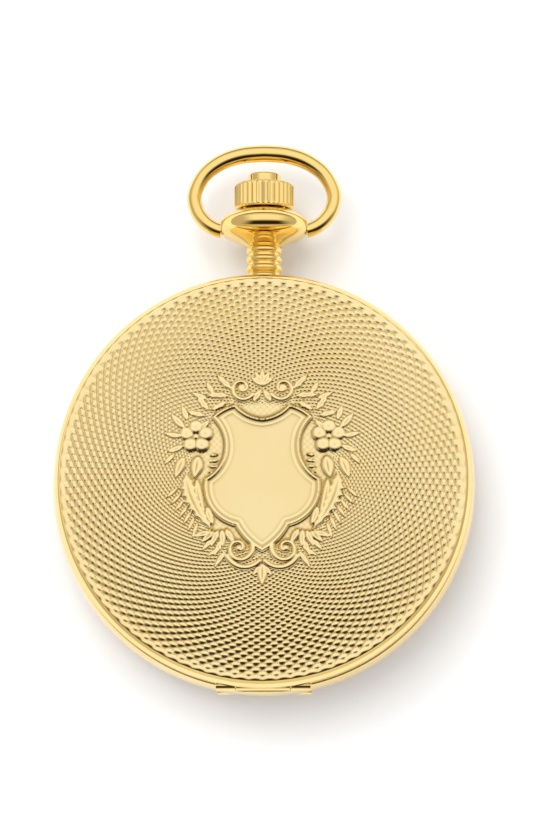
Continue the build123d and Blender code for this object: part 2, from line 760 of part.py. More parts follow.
def ratchet_wheel():
    outline = toothed(ratchet_teeth, ratchet_module, ratchet_phase) - Rectangle(1.24, 1.24)
    return slab(outline, 3.35, 3.75, barrel_at)


def crown_wheel():
    outline = toothed(crown_wheel_teeth, ratchet_module, crown_wheel_phase) - Circle(1.3)
    body = slab(outline, 3.35, 3.75, crown_wheel_at)
    ring_module = crown_ring[1] / (crown_wheel_teeth / 2 + tooth_tip)
    ring = toothed(crown_wheel_teeth, ring_module) - Circle(crown_ring[0])
    return body + slab(ring, 3.75, 5.12, crown_wheel_at)


def crown_wheel_screw():
    body = disc(1.25, 3.33, 3.85, crown_wheel_at) + disc(2.0, 3.05, 3.33, crown_wheel_at)
    body += disc(0.6, 3.8, 4.9, crown_wheel_at)
    slot = Pos(crown_wheel_at[0], crown_wheel_at[1], 3.05) * Rot(0, 0, 30) * Box(4.2, 0.4, 0.3)
    return body - slot


def ratchet_screw():
    return screw(barrel_at, 3.33, 1.7, 0.3, 0.45, 1.4)


def barrel_arbor():
    at = barrel_at
    body = slab(Rectangle(1.2, 1.2), 3.35, 3.85, at) + disc(0.95, 3.85, 5.45, at)
    body += disc(1.9, 5.48, 6.55, at) + disc(0.95, 5.4, 7.12, at) + disc(0.7, 7.1, 7.9, at)
    return body - disc(0.45, 3.33, 4.73, at)


def barrel_drum():
    teeth = toothed(barrel_teeth, barrel_module, barrel_phase)
    body = slab(teeth, 6.35, 6.8, barrel_at) + disc(7.45, 5.45, 6.95, barrel_at)
    body -= disc(7.1, 5.45, 6.6, barrel_at)
    return body - disc(1.0, 6.5, 6.95, barrel_at)


def barrel_lid():
    return disc(7.4, 5.2, 5.42, barrel_at, 1.0)


def mainspring():
    coil = spiral(2.25, 0.5, 9, 0.16)
    return slab(Pos(-0.1, 0) * coil, 5.55, 6.5, barrel_at)


def click():
    pivot_hole = 0.43
    beak_r = tip_radius(ratchet_teeth, ratchet_module) + 0.3
    beak_at = toward(barrel_at, math.radians(click_angle - 8), beak_r)
    body = slab(capsule(click_at, beak_at, 0.85, 0.22), 3.38, 3.68)
    tail = toward(click_at, math.radians(click_angle) + 0.9, 1.3)
    body += slab(capsule(click_at, tail, 0.5, 0.25), 3.38, 3.68)
    return body - disc(pivot_hole, 3.3, 3.75, click_at)


def click_screw():
    return screw(click_at, 3.38, 0.7, 0.25, 0.4, 0.8)


def click_spring():
    ring = Pos(click_at[0], click_at[1], 0) * sector(2.3, 2.5, 20, 190, 3.4, 3.85)
    return ring + disc(0.3, 3.4, 3.85, toward(click_at, math.radians(190), 2.3))


# ---------------------------------------------------------------- going train
centre_pinion_phase = 0.0
barrel_phase = meshed((0, 0), centre_pinion_teeth, centre_pinion_phase, barrel_at, barrel_teeth)
third_pinion_phase = meshed((0, 0), centre_teeth, 0, third_at, third_pinion_teeth)
fourth_pinion_phase = meshed(third_at, third_teeth, 0, fourth_at, fourth_pinion_teeth)
escape_pinion_phase = meshed(fourth_at, fourth_teeth, 0, escape_at, escape_pinion_teeth)


def centre_wheel():
    outline = crossed(toothed(centre_teeth, centre_module), 4.6, 1.1, 5, 0.5)
    body = slab(outline, 4.85, 5.05)
    body += slab(toothed(centre_pinion_teeth, barrel_module, centre_pinion_phase), 5.3, 6.95)
    body += disc(0.5, 4.75, 7.2)
    return body + disc(0.3, 3.5, 4.8) + disc(0.42, 7.1, 9.36)


def third_wheel():
    outline = crossed(toothed(third_teeth, third_module), 3.95, 0.7, 5, 0.4, 20)
    body = slab(outline, 5.3, 5.5, third_at)
    body += slab(toothed(third_pinion_teeth, centre_module, third_pinion_phase), 4.72, 5.4, third_at)
    body += disc(arbor_r, 4.7, 7.25, third_at)
    return body + disc(pivot_r, 3.5, 4.75, third_at) + disc(pivot_r, 7.2, 7.7, third_at)


def fourth_wheel():
    outline = crossed(toothed(fourth_teeth, fourth_module), 3.6, 0.7, 5, 0.4, 10)
    body = slab(outline, 5.75, 5.95, fourth_at)
    body += slab(toothed(fourth_pinion_teeth, third_module, fourth_pinion_phase), 5.2, 5.85, fourth_at)
    body += disc(arbor_r, 4.7, 8.62, fourth_at)
    return body + disc(pivot_r, 3.5, 4.75, fourth_at)


def escape_wheel():
    """Club-toothed wheel: fifteen hooked teeth on a light rim."""
    points = []
    for k in range(escape_teeth):
        start = 2 * math.pi * k / escape_teeth
        for radius, share in ((2.2, 0.0), (2.75, 0.16), (escape_r, 0.34), (2.25, 0.3)):
            angle = start + share * 2 * math.pi / escape_teeth
            points.append((radius * math.cos(angle), radius * math.sin(angle)))
    outline = crossed(make_face(Polyline(*points, close=True)), 1.85, 0.6, 4, 0.35)
    body = slab(outline, 6.25, 6.45, escape_at)
    body += slab(toothed(escape_pinion_teeth, fourth_module, escape_pinion_phase), 5.62, 6.3, escape_at)
    body += disc(arbor_r, 4.7, 7.25, escape_at)
    return body + disc(pivot_r, 3.5, 4.75, escape_at) + disc(pivot_r, 7.2, 7.7, escape_at)


# ---------------------------------------------------------------- escapement and balance
def fork_frame(outline):
    """Places a shape drawn with the pallet arbor at the origin and the balance along +X."""
    return Pos(*pallet_at) * Rot(0, 0, math.degrees(fork_line)) * outline


def pallet_stone(side):
    return fork_frame(Pos(-stone_reach - 0.18, side * stone_side) * Rectangle(*stone_size))


def pallet_fork():
    reach = math.dist(pallet_at, balance_at) - 0.8
    lever = Pos(reach / 2, 0) * Rectangle(reach, 0.36)
    lever += Pos(reach - 0.25, 0) * Rectangle(0.5, 0.8)
    lever -= Pos(reach - 0.15, 0) * Rectangle(0.5, 0.34)
    for side in (-1, 1):
        lever += capsule((0, 0), (-stone_reach, side * stone_side), 0.3, 0.2)
    body = slab(fork_frame(lever + Circle(0.42)) - pallet_stone(-1) - pallet_stone(1), fork_z0, fork_z1)
    body += disc(0.2, 6.02, 7.25, pallet_at)
    return body + disc(pivot_r, 5.72, 6.1, pallet_at) + disc(pivot_r, 7.2, 7.7, pallet_at)


def pallet_stones():
    group = Part()
    for side in (-1, 1):
        group += slab(pallet_stone(side), fork_z0, fork_z1)
    return group


def balance_wheel():
    outline = crossed(Circle(balance_r), balance_r - 0.5, 0.8, 2, 0.7, 25)
    body = slab(outline, 4.4, 5.0, balance_at)
    body -= disc(balance_r - 0.5, 4.4, 4.7, balance_at, 0.75)
    for k in range(14):
        screw_body = Rot(0, 0, 25 + 360 * k / 14) * Pos(balance_r, 0) * Rot(0, 90, 0) * Cylinder(0.2, 0.44)
        body += Pos(balance_at[0], balance_at[1], 4.7) * screw_body
    return body - disc(0.35, 4.0, 5.2, balance_at)


def balance_staff():
    at = balance_at
    body = disc(0.35, 4.15, 5.85, at) + disc(1.25, 5.85, 6.1, at) + disc(0.2, 6.0, 7.25, at)
    body += disc(pivot_r, 3.45, 4.3, at) + disc(pivot_r, 7.2, 7.7, at)
    pin_at = toward(at, fork_line + math.pi, 0.97)
    return body + disc(0.1, 6.1, fork_z1 - 0.03, pin_at)


def hairspring():
    coil = spiral(0.72, 0.28, 9, 0.06)
    return slab(coil, 4.2, 4.32, balance_at) + disc(0.78, 4.18, 4.34, balance_at, 0.36)


def regulator():
    ring = Circle(1.5) - Circle(0.95)
    pointer_end = toward((0, 0), math.atan2(0.9, 0.4), 5.2)
    pointer = capsule(toward((0, 0), math.atan2(0.9, 0.4), 1.3), pointer_end, 0.3, 0.08)
    return slab(ring + pointer, cock_z0 - 0.16, cock_z0 - 0.02, balance_at)


# ---------------------------------------------------------------- motion works
minute_phase = meshed((0, 0), cannon_teeth, 0, minute_at, minute_wheel_teeth)
hour_phase = meshed(minute_at, minute_pinion_teeth, minute_phase, (0, 0), hour_teeth)
idler_phase = meshed(minute_at, minute_wheel_teeth, minute_phase, idler_at, idler_teeth)
setting_phase = meshed(idler_at, idler_teeth, idler_phase, setting_at, setting_teeth)


def cannon_pinion():
    body = disc(0.62, 7.3, 9.36) + slab(toothed(cannon_teeth, cannon_module), 7.3, 7.6)
    return body - disc(0.42, 7.3, 9.36)


def minute_wheel():
    wheel = crossed(toothed(minute_wheel_teeth, cannon_module, minute_phase), 1.75, 0.7, 4, 0.35)
    body = slab(wheel, 7.32, 7.52, minute_at)
    body += slab(toothed(minute_pinion_teeth, hour_module, minute_phase), 7.5, 7.95, minute_at)
    return body - disc(0.34, 7.3, 8.0, minute_at)


def hour_wheel():
    body = slab(toothed(hour_teeth, hour_module, hour_phase), 7.68, 7.88) + disc(1.0, 7.68, 8.95)
    return body - disc(0.67, 7.6, 9.0)


def dial_side_wheel(teeth, phase, at):
    outline = toothed(teeth, cannon_module, phase) - Circle(0.34)
    return slab(outline, 7.32, 7.52, at)


# ---------------------------------------------------------------- dial and hands
def dial():
    body = disc(dial_r, dial_z0, dial_z1)
    body -= disc(seconds_r, dial_z0 + 0.18, dial_z1, fourth_at)
    body -= disc(1.12, dial_z0, dial_z1)
    return body - disc(arbor_r + 0.1, dial_z0, dial_z1, fourth_at)


def hand(length, hub_r, arbor_bore, width, spade_r, z0, z1, at, clock_angle):
    """Spade hand drawn pointing to twelve and turned clockwise to its reading."""
    shaft = make_face(Polyline((-width / 2, 0), (width / 2, 0), (width / 3, length * 0.72),
                               (-width / 3, length * 0.72), close=True))
    outline = shaft + Circle(hub_r)
    spade_y = length * 0.72
    outline += Pos(0, spade_y) * Circle(spade_r)
    brow_x = spade_r * 0.94
    brow_y = spade_y + 0.34 * spade_r
    outline += make_face(Polyline((-brow_x, brow_y), (brow_x, brow_y), (0.05, length), (-0.05, length),
                                  close=True))
    tail = make_face(Polyline((-width / 2, 0), (-width / 3, -length * 0.2), (width / 3, -length * 0.2),
                              (width / 2, 0), close=True))
    outline = (outline + tail) - Circle(arbor_bore)
    return slab(Rot(0, 0, -clock_angle) * outline, z0, z1, at)


def hour_hand():
    angle = 30 * (shown_hour + shown_minute / 60)
    return hand(hour_length, 1.45, 1.0, 0.6, 1.1, 8.77, 8.95, (0, 0), angle)


def minute_hand():
    return hand(minute_length, 1.1, 0.62, 0.5, 0.95, 9.2, 9.36, (0, 0), 6 * shown_minute)


def seconds_hand():
    return hand(seconds_length, 0.45, arbor_r, 0.16, 0.18, 8.5, 8.62, fourth_at, 6 * shown_second)


# ---------------------------------------------------------------- write every piece
pieces = {
    "case_band": band,
    "pendant": pendant,
    "bow": bow,
    "front_cover": front_cover,
    "back_cover": back_cover,
    "front_hinge_pin": lambda: hinge_pin(front_hinge_z),
    "back_hinge_pin": lambda: hinge_pin(back_hinge_z),
    "front_bezel": front_bezel,
    "crystal": crystal,
    "cuvette_ring": cuvette_ring,
    "cuvette_glass": cuvette_glass,
    "release_catch": release_catch,
    "lift_spring": lift_spring,
    "case_screws": case_screws,
    "crown": crown,
    "winding_stem": winding_stem,
    "release_button": release_button,
    "winding_pinion": winding_pinion,
    "sliding_pinion": sliding_pinion,
    "setting_lever": setting_lever,
    "yoke": yoke,
    "main_plate": main_plate,
    "barrel_bridge": barrel_bridge,
    "train_bridge": train_bridge,
    "balance_cock": balance_cock,
    "pallet_bridge": pallet_bridge,
    "bridge_screws": bridge_screws,
    "jewels": jewels,
    "ratchet_wheel": ratchet_wheel,
    "ratchet_screw": ratchet_screw,
    "crown_wheel": crown_wheel,
    "crown_wheel_screw": crown_wheel_screw,
    "barrel_arbor": barrel_arbor,
    "barrel_drum": barrel_drum,
    "barrel_lid": barrel_lid,
    "mainspring": mainspring,
    "click": click,
    "click_screw": click_screw,
    "click_spring": click_spring,
    "centre_wheel": centre_wheel,
    "third_wheel": third_wheel,
    "fourth_wheel": fourth_wheel,
    "escape_wheel": escape_wheel,
    "pallet_fork": pallet_fork,
    "pallet_stones": pallet_stones,
    "balance_wheel": balance_wheel,
    "balance_staff": balance_staff,
    "hairspring": hairspring,
    "regulator": regulator,
    "cannon_pinion": cannon_pinion,
    "minute_wheel": minute_wheel,
    "hour_wheel": hour_wheel,
    "idler_wheel": lambda: dial_side_wheel(idler_teeth, idler_phase, idler_at),
    "setting_wheel": lambda: dial_side_wheel(setting_teeth, setting_phase, setting_at),
    "dial": dial,
    "hour_hand": hour_hand,
    "minute_hand": minute_hand,
    "seconds_hand": seconds_hand,
}

os.makedirs("parts", exist_ok=True)
for name, make in pieces.items():
    export_step(make(), f"parts/{name}.step")
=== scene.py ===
"""Looks of a gold hunter-cased pocket watch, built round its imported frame.

Metres. The case axis is Z, the pendant points along +Y and the front cover faces +Z.
Sections follow the watch as it is put together, from the studio it lies in to its covers.
"""

import json
import math

import bmesh
import bpy
import numpy as np
from mathutils import Matrix, Vector

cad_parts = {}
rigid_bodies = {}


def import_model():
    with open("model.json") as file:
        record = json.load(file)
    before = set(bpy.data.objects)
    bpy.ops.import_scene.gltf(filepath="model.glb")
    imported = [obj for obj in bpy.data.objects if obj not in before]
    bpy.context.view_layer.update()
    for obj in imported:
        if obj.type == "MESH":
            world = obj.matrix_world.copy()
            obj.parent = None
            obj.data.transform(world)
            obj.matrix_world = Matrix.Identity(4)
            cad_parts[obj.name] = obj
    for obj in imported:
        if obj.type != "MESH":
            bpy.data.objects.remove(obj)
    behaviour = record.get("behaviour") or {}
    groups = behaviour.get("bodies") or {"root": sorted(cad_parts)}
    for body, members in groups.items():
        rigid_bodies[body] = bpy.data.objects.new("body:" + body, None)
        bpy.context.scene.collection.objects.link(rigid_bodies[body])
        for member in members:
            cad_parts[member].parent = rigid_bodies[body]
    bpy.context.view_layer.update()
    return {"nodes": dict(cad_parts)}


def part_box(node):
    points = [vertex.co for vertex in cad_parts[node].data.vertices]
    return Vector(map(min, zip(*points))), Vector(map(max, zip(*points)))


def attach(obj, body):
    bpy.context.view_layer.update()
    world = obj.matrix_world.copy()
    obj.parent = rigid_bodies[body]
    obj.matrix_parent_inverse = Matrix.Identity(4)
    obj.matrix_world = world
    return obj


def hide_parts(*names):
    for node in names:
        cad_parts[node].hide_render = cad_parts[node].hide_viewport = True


bpy.ops.object.select_all(action="SELECT")
bpy.ops.object.delete()
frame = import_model()
nodes = frame["nodes"]

# ------------------------------------------------------------------ camera
# A long lens nearly straight above the cover, so that the round case stays round.
# It leans a little towards the hinge side and stands a little to the right.
mm = 0.001
aim = Vector((1.25 * mm, 8.2 * mm, 7.0 * mm))
lean_to_hinge = math.radians(9.0)
lean_to_side = math.radians(1.5)
camera_distance = 0.4447
camera = bpy.data.cameras.new("studio_camera")
camera.lens = 170
camera.sensor_width = 36
camera.clip_start = 0.01
camera.clip_end = 20
camera_object = bpy.data.objects.new("studio_camera", camera)
bpy.context.scene.collection.objects.link(camera_object)
camera_object.rotation_euler = (lean_to_hinge, lean_to_side, 0.0)
toward_camera = camera_object.rotation_euler.to_matrix() @ Vector((0, 0, 1))
camera_object.location = aim + toward_camera * camera_distance
bpy.context.scene.camera = camera_object
bpy.context.scene.view_settings.view_transform = "Standard"

# ------------------------------------------------------------------ studio
# A matt white table in a pale room, under one wide soft light.
# The polished metal also mirrors a dark gap in front of the table, which gives the gold its shape.
floor_half = 3.0
floor_bm = bmesh.new()
bmesh.ops.create_grid(floor_bm, x_segments=1, y_segments=1, size=floor_half)
floor_mesh = bpy.data.meshes.new("studio_floor")
floor_bm.to_mesh(floor_mesh)
floor_bm.free()
floor = bpy.data.objects.new("studio_floor", floor_mesh)
bpy.context.scene.collection.objects.link(floor)
floor_finish = bpy.data.materials.new("white_table")
floor_finish.use_nodes = True
floor_shader = floor_finish.node_tree.nodes["Principled BSDF"]
floor_shader.inputs["Base Color"].default_value = (0.92, 0.92, 0.93, 1)
floor_shader.inputs["Roughness"].default_value = 0.9
floor_shader.inputs["Specular IOR Level"].default_value = 0.1
floor_mesh.materials.append(floor_finish)


def area_light(name, power, size, at, colour=(1, 1, 1)):
    """Square soft light at a place, facing the watch."""
    lamp = bpy.data.lights.new(name, "AREA")
    lamp.energy = power
    lamp.size = size
    lamp.color = colour
    lamp_object = bpy.data.objects.new(name, lamp)
    bpy.context.scene.collection.objects.link(lamp_object)
    lamp_object.location = at
    lamp_object.rotation_euler = Vector(at).to_track_quat("Z", "Y").to_euler()
    return lamp_object


key = area_light("key_softbox", 9.0, 0.8, (-0.28, 0.42, 1.2), (1.0, 0.99, 0.97))
key.visible_glossy = False

world = bpy.data.worlds.new("studio_room")
bpy.context.scene.world = world
world.use_nodes = True
room = world.node_tree
room.nodes.clear()
direction = room.nodes.new("ShaderNodeTexCoord")
split = room.nodes.new("ShaderNodeSeparateXYZ")
room.links.new(direction.outputs["Generated"], split.inputs[0])


def room_math(operation, a, b=None):
    """One arithmetic node of the room, fed by sockets or numbers."""
    node = room.nodes.new("ShaderNodeMath")
    node.operation = operation
    for socket, value in zip(node.inputs, (a, b)):
        if isinstance(value, (int, float)):
            socket.default_value = value
        elif value is not None:
            room.links.new(value, socket)
    return node.outputs[0]


front_angle = room_math("ARCTAN2", room_math("MULTIPLY", split.outputs["Y"], -1.0), split.outputs["Z"])
angle_share = room_math("ADD", room_math("DIVIDE", front_angle, 2 * math.pi), 0.5)
sweep = room.nodes.new("ShaderNodeValToRGB")
room.links.new(angle_share, sweep.inputs["Fac"])
# Degrees from overhead towards the hinge side, and how bright the room is there.
room_bands = (
    (-180, (0.55, 0.50, 0.42)),
    (-110, (0.40, 0.36, 0.28)),
    (-96, (0.12, 0.10, 0.06)),
    (-84, (0.16, 0.13, 0.09)),
    (-66, (0.78, 0.75, 0.70)),
    (-40, (1.12, 1.11, 1.10)),
    (-14, (1.06, 1.05, 1.05)),
    (0, (1.08, 1.07, 1.06)),
    (7, (0.90, 0.88, 0.86)),
    (14, (0.46, 0.43, 0.38)),
    (21, (0.13, 0.11, 0.085)),
    (30, (0.02, 0.016, 0.012)),
    (58, (0.02, 0.016, 0.012)),
    (68, (0.55, 0.50, 0.42)),
    (84, (0.95, 0.90, 0.80)),
    (94, (0.45, 0.40, 0.32)),
    (99, (0.03, 0.025, 0.02)),
    (108, (0.03, 0.025, 0.02)),
    (116, (0.60, 0.54, 0.44)),
    (140, (0.85, 0.78, 0.66)),
    (179, (0.55, 0.50, 0.42)),
)
sweep.color_ramp.interpolation = "EASE"
ramp = sweep.color_ramp.elements
for stop, (angle, shade) in enumerate(room_bands):
    place = angle / 360 + 0.5
    element = ramp[stop] if stop < 2 else ramp.new(place)
    element.position = place
    element.color = (*shade, 1)
side_fade = room.nodes.new("ShaderNodeMapRange")
side_fade.interpolation_type = "SMOOTHSTEP"
side_fade.inputs["From Min"].default_value = 0.45
side_fade.inputs["From Max"].default_value = 0.95
room.links.new(room_math("ABSOLUTE", room_math("ADD", split.outputs["X"], -0.08)), side_fade.inputs["Value"])
sides = room.nodes.new("ShaderNodeMix")
sides.data_type = "RGBA"
room.links.new(side_fade.outputs["Result"], sides.inputs["Factor"])
room.links.new(sweep.outputs["Color"], sides.inputs["A"])
sides.inputs["B"].default_value = (0.60, 0.56, 0.50, 1)
mirrored_room = room.nodes.new("ShaderNodeBackground")
room.links.new(sides.outputs["Result"], mirrored_room.inputs["Color"])
mirrored_room.inputs["Strength"].default_value = 1.0
open_room = room.nodes.new("ShaderNodeBackground")
open_room.inputs["Color"].default_value = (0.93, 0.94, 0.96, 1)
open_room.inputs["Strength"].default_value = 0.95
ray = room.nodes.new("ShaderNodeLightPath")
chosen = room.nodes.new("ShaderNodeMixShader")
room.links.new(ray.outputs["Is Glossy Ray"], chosen.inputs["Fac"])
room.links.new(open_room.outputs[0], chosen.inputs[1])
room.links.new(mirrored_room.outputs[0], chosen.inputs[2])
room_out = room.nodes.new("ShaderNodeOutputWorld")
room.links.new(chosen.outputs[0], room_out.inputs["Surface"])


# ------------------------------------------------------------------ case band
# The ring that carries everything: turned brass, gold plated and polished, with the hinges' side
# knuckles soldered on. Its plating shows faint cloudiness and hair scratches from the pocket.
def new_finish(name, colour, metallic, roughness):
    """A finish with one shader; returns the material, its tree and the shader."""
    finish = bpy.data.materials.new(name)
    finish.use_nodes = True
    tree = finish.node_tree
    shader = tree.nodes["Principled BSDF"]
    shader.inputs["Base Color"].default_value = (*colour, 1)
    shader.inputs["Metallic"].default_value = metallic
    shader.inputs["Roughness"].default_value = roughness
    return finish, tree, shader


def grain(tree, scale, detail=3.0, stretch=(1, 1, 1), turn=0.0):
    """Noise over the piece, at cells per metre, drawn out by stretch."""
    place = tree.nodes.new("ShaderNodeTexCoord")
    mapping = tree.nodes.new("ShaderNodeMapping")
    mapping.inputs["Scale"].default_value = stretch
    mapping.inputs["Rotation"].default_value = (0, 0, turn)
    noise = tree.nodes.new("ShaderNodeTexNoise")
    noise.inputs["Scale"].default_value = scale
    noise.inputs["Detail"].default_value = detail
    tree.links.new(place.outputs["Object"], mapping.inputs["Vector"])
    tree.links.new(mapping.outputs["Vector"], noise.inputs["Vector"])
    return noise.outputs["Fac"]


def spread(tree, value, low, high, start=0.3, end=0.7):
    """Maps a texture's middle range to low..high."""
    fit = tree.nodes.new("ShaderNodeMapRange")
    fit.inputs["From Min"].default_value = start
    fit.inputs["From Max"].default_value = end
    fit.inputs["To Min"].default_value = low
    fit.inputs["To Max"].default_value = high
    tree.links.new(value, fit.inputs["Value"])
    return fit.outputs["Result"]


def tinted(tree, shader, value, first, second):
    """Drives the colour between two tints."""
    mix = tree.nodes.new("ShaderNodeMix")
    mix.data_type = "RGBA"
    mix.inputs["A"].default_value = (*first, 1)
    mix.inputs["B"].default_value = (*second, 1)
    tree.links.new(value, mix.inputs["Factor"])
    tree.links.new(mix.outputs["Result"], shader.inputs["Base Color"])


def raised(tree, shader, value, height, strength=1.0):
    """Fine surface relief, height in metres."""
    bump = tree.nodes.new("ShaderNodeBump")
    bump.inputs["Strength"].default_value = strength
    bump.inputs["Distance"].default_value = height
    tree.links.new(value, bump.inputs["Height"])
    tree.links.new(bump.outputs["Normal"], shader.inputs["Normal"])
    return bump


def gold_plate(name, colour, deep, roughness, wear):
    """Polished gold plate: cloudy colour, uneven polish and hair scratches."""
    clouds_per_metre = 90
    smears_per_metre = 420
    scratches_per_metre = 900
    scratch_turn = 0.6
    scratch_depth = 0.002 * mm
    finish, tree, shader = new_finish(name, colour, 1.0, roughness)
    tinted(tree, shader, spread(tree, grain(tree, clouds_per_metre), 0, 1), colour, deep)
    smears = grain(tree, smears_per_metre, 6)
    tree.links.new(spread(tree, smears, roughness, roughness + wear), shader.inputs["Roughness"])
    scratches = grain(tree, scratches_per_metre, 2, (14, 1, 1), scratch_turn)
    raised(tree, shader, scratches, scratch_depth, 0.25)
    return finish


polished_gold = gold_plate("polished_gold", (0.94, 0.73, 0.33), (0.92, 0.68, 0.27), 0.07, 0.06)


def coat(finish, *names):
    """Gives the named frame nodes a finish."""
    for name in names:
        mesh = nodes[name].data
        mesh.materials.clear()
        mesh.materials.append(finish)


coat(polished_gold, "case_band", "front_bezel", "cuvette_ring", "front_hinge_pin", "back_hinge_pin")

# ------------------------------------------------------------------ movement
# Gilt brass wheels and plate with spotted graining, nickel bridges with wide stripes, hard steel
# keyless parts, heat-blued screws and ruby bearings.
spots_per_metre = 1100
rings_in_spot = 60
graining_depth = 0.003 * mm
gilt, gilt_tree, gilt_shader = new_finish("spotted_gilt_plate", (0.86, 0.68, 0.36), 1.0, 0.25)
spot_place = gilt_tree.nodes.new("ShaderNodeTexCoord")
spots = gilt_tree.nodes.new("ShaderNodeTexVoronoi")
spots.inputs["Scale"].default_value = spots_per_metre
gilt_tree.links.new(spot_place.outputs["Object"], spots.inputs["Vector"])
rings = gilt_tree.nodes.new("ShaderNodeMath")
rings.operation = "SINE"
ring_rate = gilt_tree.nodes.new("ShaderNodeMath")
ring_rate.operation = "MULTIPLY"
ring_rate.inputs[1].default_value = rings_in_spot
gilt_tree.links.new(spots.outputs["Distance"], ring_rate.inputs[0])
gilt_tree.links.new(ring_rate.outputs[0], rings.inputs[0])
raised(gilt_tree, gilt_shader, rings.outputs[0], graining_depth, 0.5)
spot_polish = spread(gilt_tree, spots.outputs["Distance"], 0.18, 0.34, 0.0, 0.8)
gilt_tree.links.new(spot_polish, gilt_shader.inputs["Roughness"])
tinted(gilt_tree, gilt_shader, spots.outputs["Distance"], (0.90, 0.73, 0.42), (0.82, 0.62, 0.31))
coat(gilt, "main_plate")

stripe_angle = math.radians(35)
stripe_scale = 160
stripe_depth = 0.02 * mm
stripes, stripe_tree, stripe_shader = new_finish("striped_nickel", (0.76, 0.74, 0.70), 1.0, 0.2)
stripe_place = stripe_tree.nodes.new("ShaderNodeTexCoord")
stripe_turn = stripe_tree.nodes.new("ShaderNodeMapping")
stripe_turn.inputs["Rotation"].default_value = (0, 0, stripe_angle)
bands = stripe_tree.nodes.new("ShaderNodeTexWave")
bands.wave_profile = "SAW"
bands.inputs["Scale"].default_value = stripe_scale
bands.inputs["Distortion"].default_value = 0.0
stripe_tree.links.new(stripe_place.outputs["Object"], stripe_turn.inputs["Vector"])
stripe_tree.links.new(stripe_turn.outputs["Vector"], bands.inputs["Vector"])
tinted(stripe_tree, stripe_shader, bands.outputs["Fac"], (0.62, 0.60, 0.57), (0.84, 0.82, 0.79))
stripe_polish = spread(stripe_tree, bands.outputs["Fac"], 0.14, 0.34, 0, 1)
stripe_tree.links.new(stripe_polish, stripe_shader.inputs["Roughness"])
raised(stripe_tree, stripe_shader, bands.outputs["Fac"], stripe_depth, 0.4)
coat(stripes, "barrel_bridge", "train_bridge", "balance_cock", "pallet_bridge")


def brushed(name, colour, deep, roughness):
    """Straight-grained or turned metal with fine lines and a little colour change."""
    clouds_per_metre = 500
    lines_per_metre = 2500
    line_turn = 0.9
    line_depth = 0.002 * mm
    finish, tree, shader = new_finish(name, colour, 1.0, roughness)
    tinted(tree, shader, spread(tree, grain(tree, clouds_per_metre), 0, 1), colour, deep)
    lines = grain(tree, lines_per_metre, 2, (1, 18, 1), line_turn)
    tree.links.new(spread(tree, lines, roughness, roughness + 0.14), shader.inputs["Roughness"])
    raised(tree, shader, lines, line_depth, 0.4)
    return finish


wheel_gilt = brushed("wheel_gilt", (0.90, 0.70, 0.33), (0.84, 0.62, 0.27), 0.16)
hard_steel = brushed("hard_steel", (0.68, 0.68, 0.70), (0.58, 0.58, 0.60), 0.14)
blued_steel = brushed("blued_steel", (0.035, 0.07, 0.36), (0.06, 0.05, 0.26), 0.12)
coat(wheel_gilt, "barrel_drum", "barrel_lid", "centre_wheel", "third_wheel", "fourth_wheel", "balance_wheel",
     "minute_wheel", "hour_wheel")
coat(hard_steel, "winding_stem", "winding_pinion", "sliding_pinion", "setting_lever", "yoke", "ratchet_wheel",
     "crown_wheel", "barrel_arbor", "mainspring", "click", "click_spring", "escape_wheel", "pallet_fork",
     "balance_staff", "regulator", "cannon_pinion", "idler_wheel", "setting_wheel", "release_catch",
     "lift_spring")
coat(blued_steel, "bridge_screws", "case_screws", "ratchet_screw", "crown_wheel_screw", "click_screw",
     "hairspring")

ruby, ruby_tree, ruby_shader = new_finish("ruby", (0.72, 0.02, 0.10), 0.0, 0.06)
ruby_shader.inputs["Coat Weight"].default_value = 0.6
ruby_shader.inputs["IOR"].default_value = 1.77
tinted(ruby_tree, ruby_shader, spread(ruby_tree, grain(ruby_tree, 1500), 0, 1),
       (0.78, 0.02, 0.12), (0.45, 0.01, 0.05))
coat(ruby, "jewels", "pallet_stones")

# ------------------------------------------------------------------ dial
# Copper disc under fired white enamel, with printed black Roman numerals, a minute track and a sunk
# small-seconds dial. The print is a hair of ink standing on the glaze.
enamel, enamel_tree, enamel_shader = new_finish("white_enamel", (0.90, 0.89, 0.85), 0.0, 0.12)
enamel_shader.inputs["Coat Weight"].default_value = 0.5
enamel_shader.inputs["Coat Roughness"].default_value = 0.05
tinted(enamel_tree, enamel_shader, spread(enamel_tree, grain(enamel_tree, 160, 5), 0, 1),
       (0.91, 0.90, 0.86), (0.86, 0.84, 0.79))
raised(enamel_tree, enamel_shader, grain(enamel_tree, 350), 6e-6, 0.4)
coat(enamel, "dial")

ink, ink_tree, ink_shader = new_finish("dial_ink", (0.012, 0.012, 0.014), 0.0, 0.4)
ink_tree.links.new(spread(ink_tree, grain(ink_tree, 2500), 0.32, 0.5), ink_shader.inputs["Roughness"])
dial_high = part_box("dial")[1]
dial_top = dial_high.z
ink_height = 0.012 * mm
small_seconds_at = Vector((0, -8.6 * mm, 0))
small_seconds_floor = dial_top - 0.17 * mm
small_seconds_radius = 3.7 * mm


def finished(bm, name, material, body, slot, *replaced):
    """Turns a bmesh into a riding piece, smooth but for its real corners."""
    bmesh.ops.remove_doubles(bm, verts=bm.verts, dist=1e-7)
    mesh = bpy.data.meshes.new(name)
    bm.to_mesh(mesh)
    bm.free()
    mesh.materials.append(material)
    mesh.shade_smooth()
    mesh.set_sharp_from_angle(angle=math.radians(38))
    piece = bpy.data.objects.new(name, mesh)
    bpy.context.scene.collection.objects.link(piece)
    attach(piece, body)
    if replaced:
        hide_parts(*replaced)
    return piece


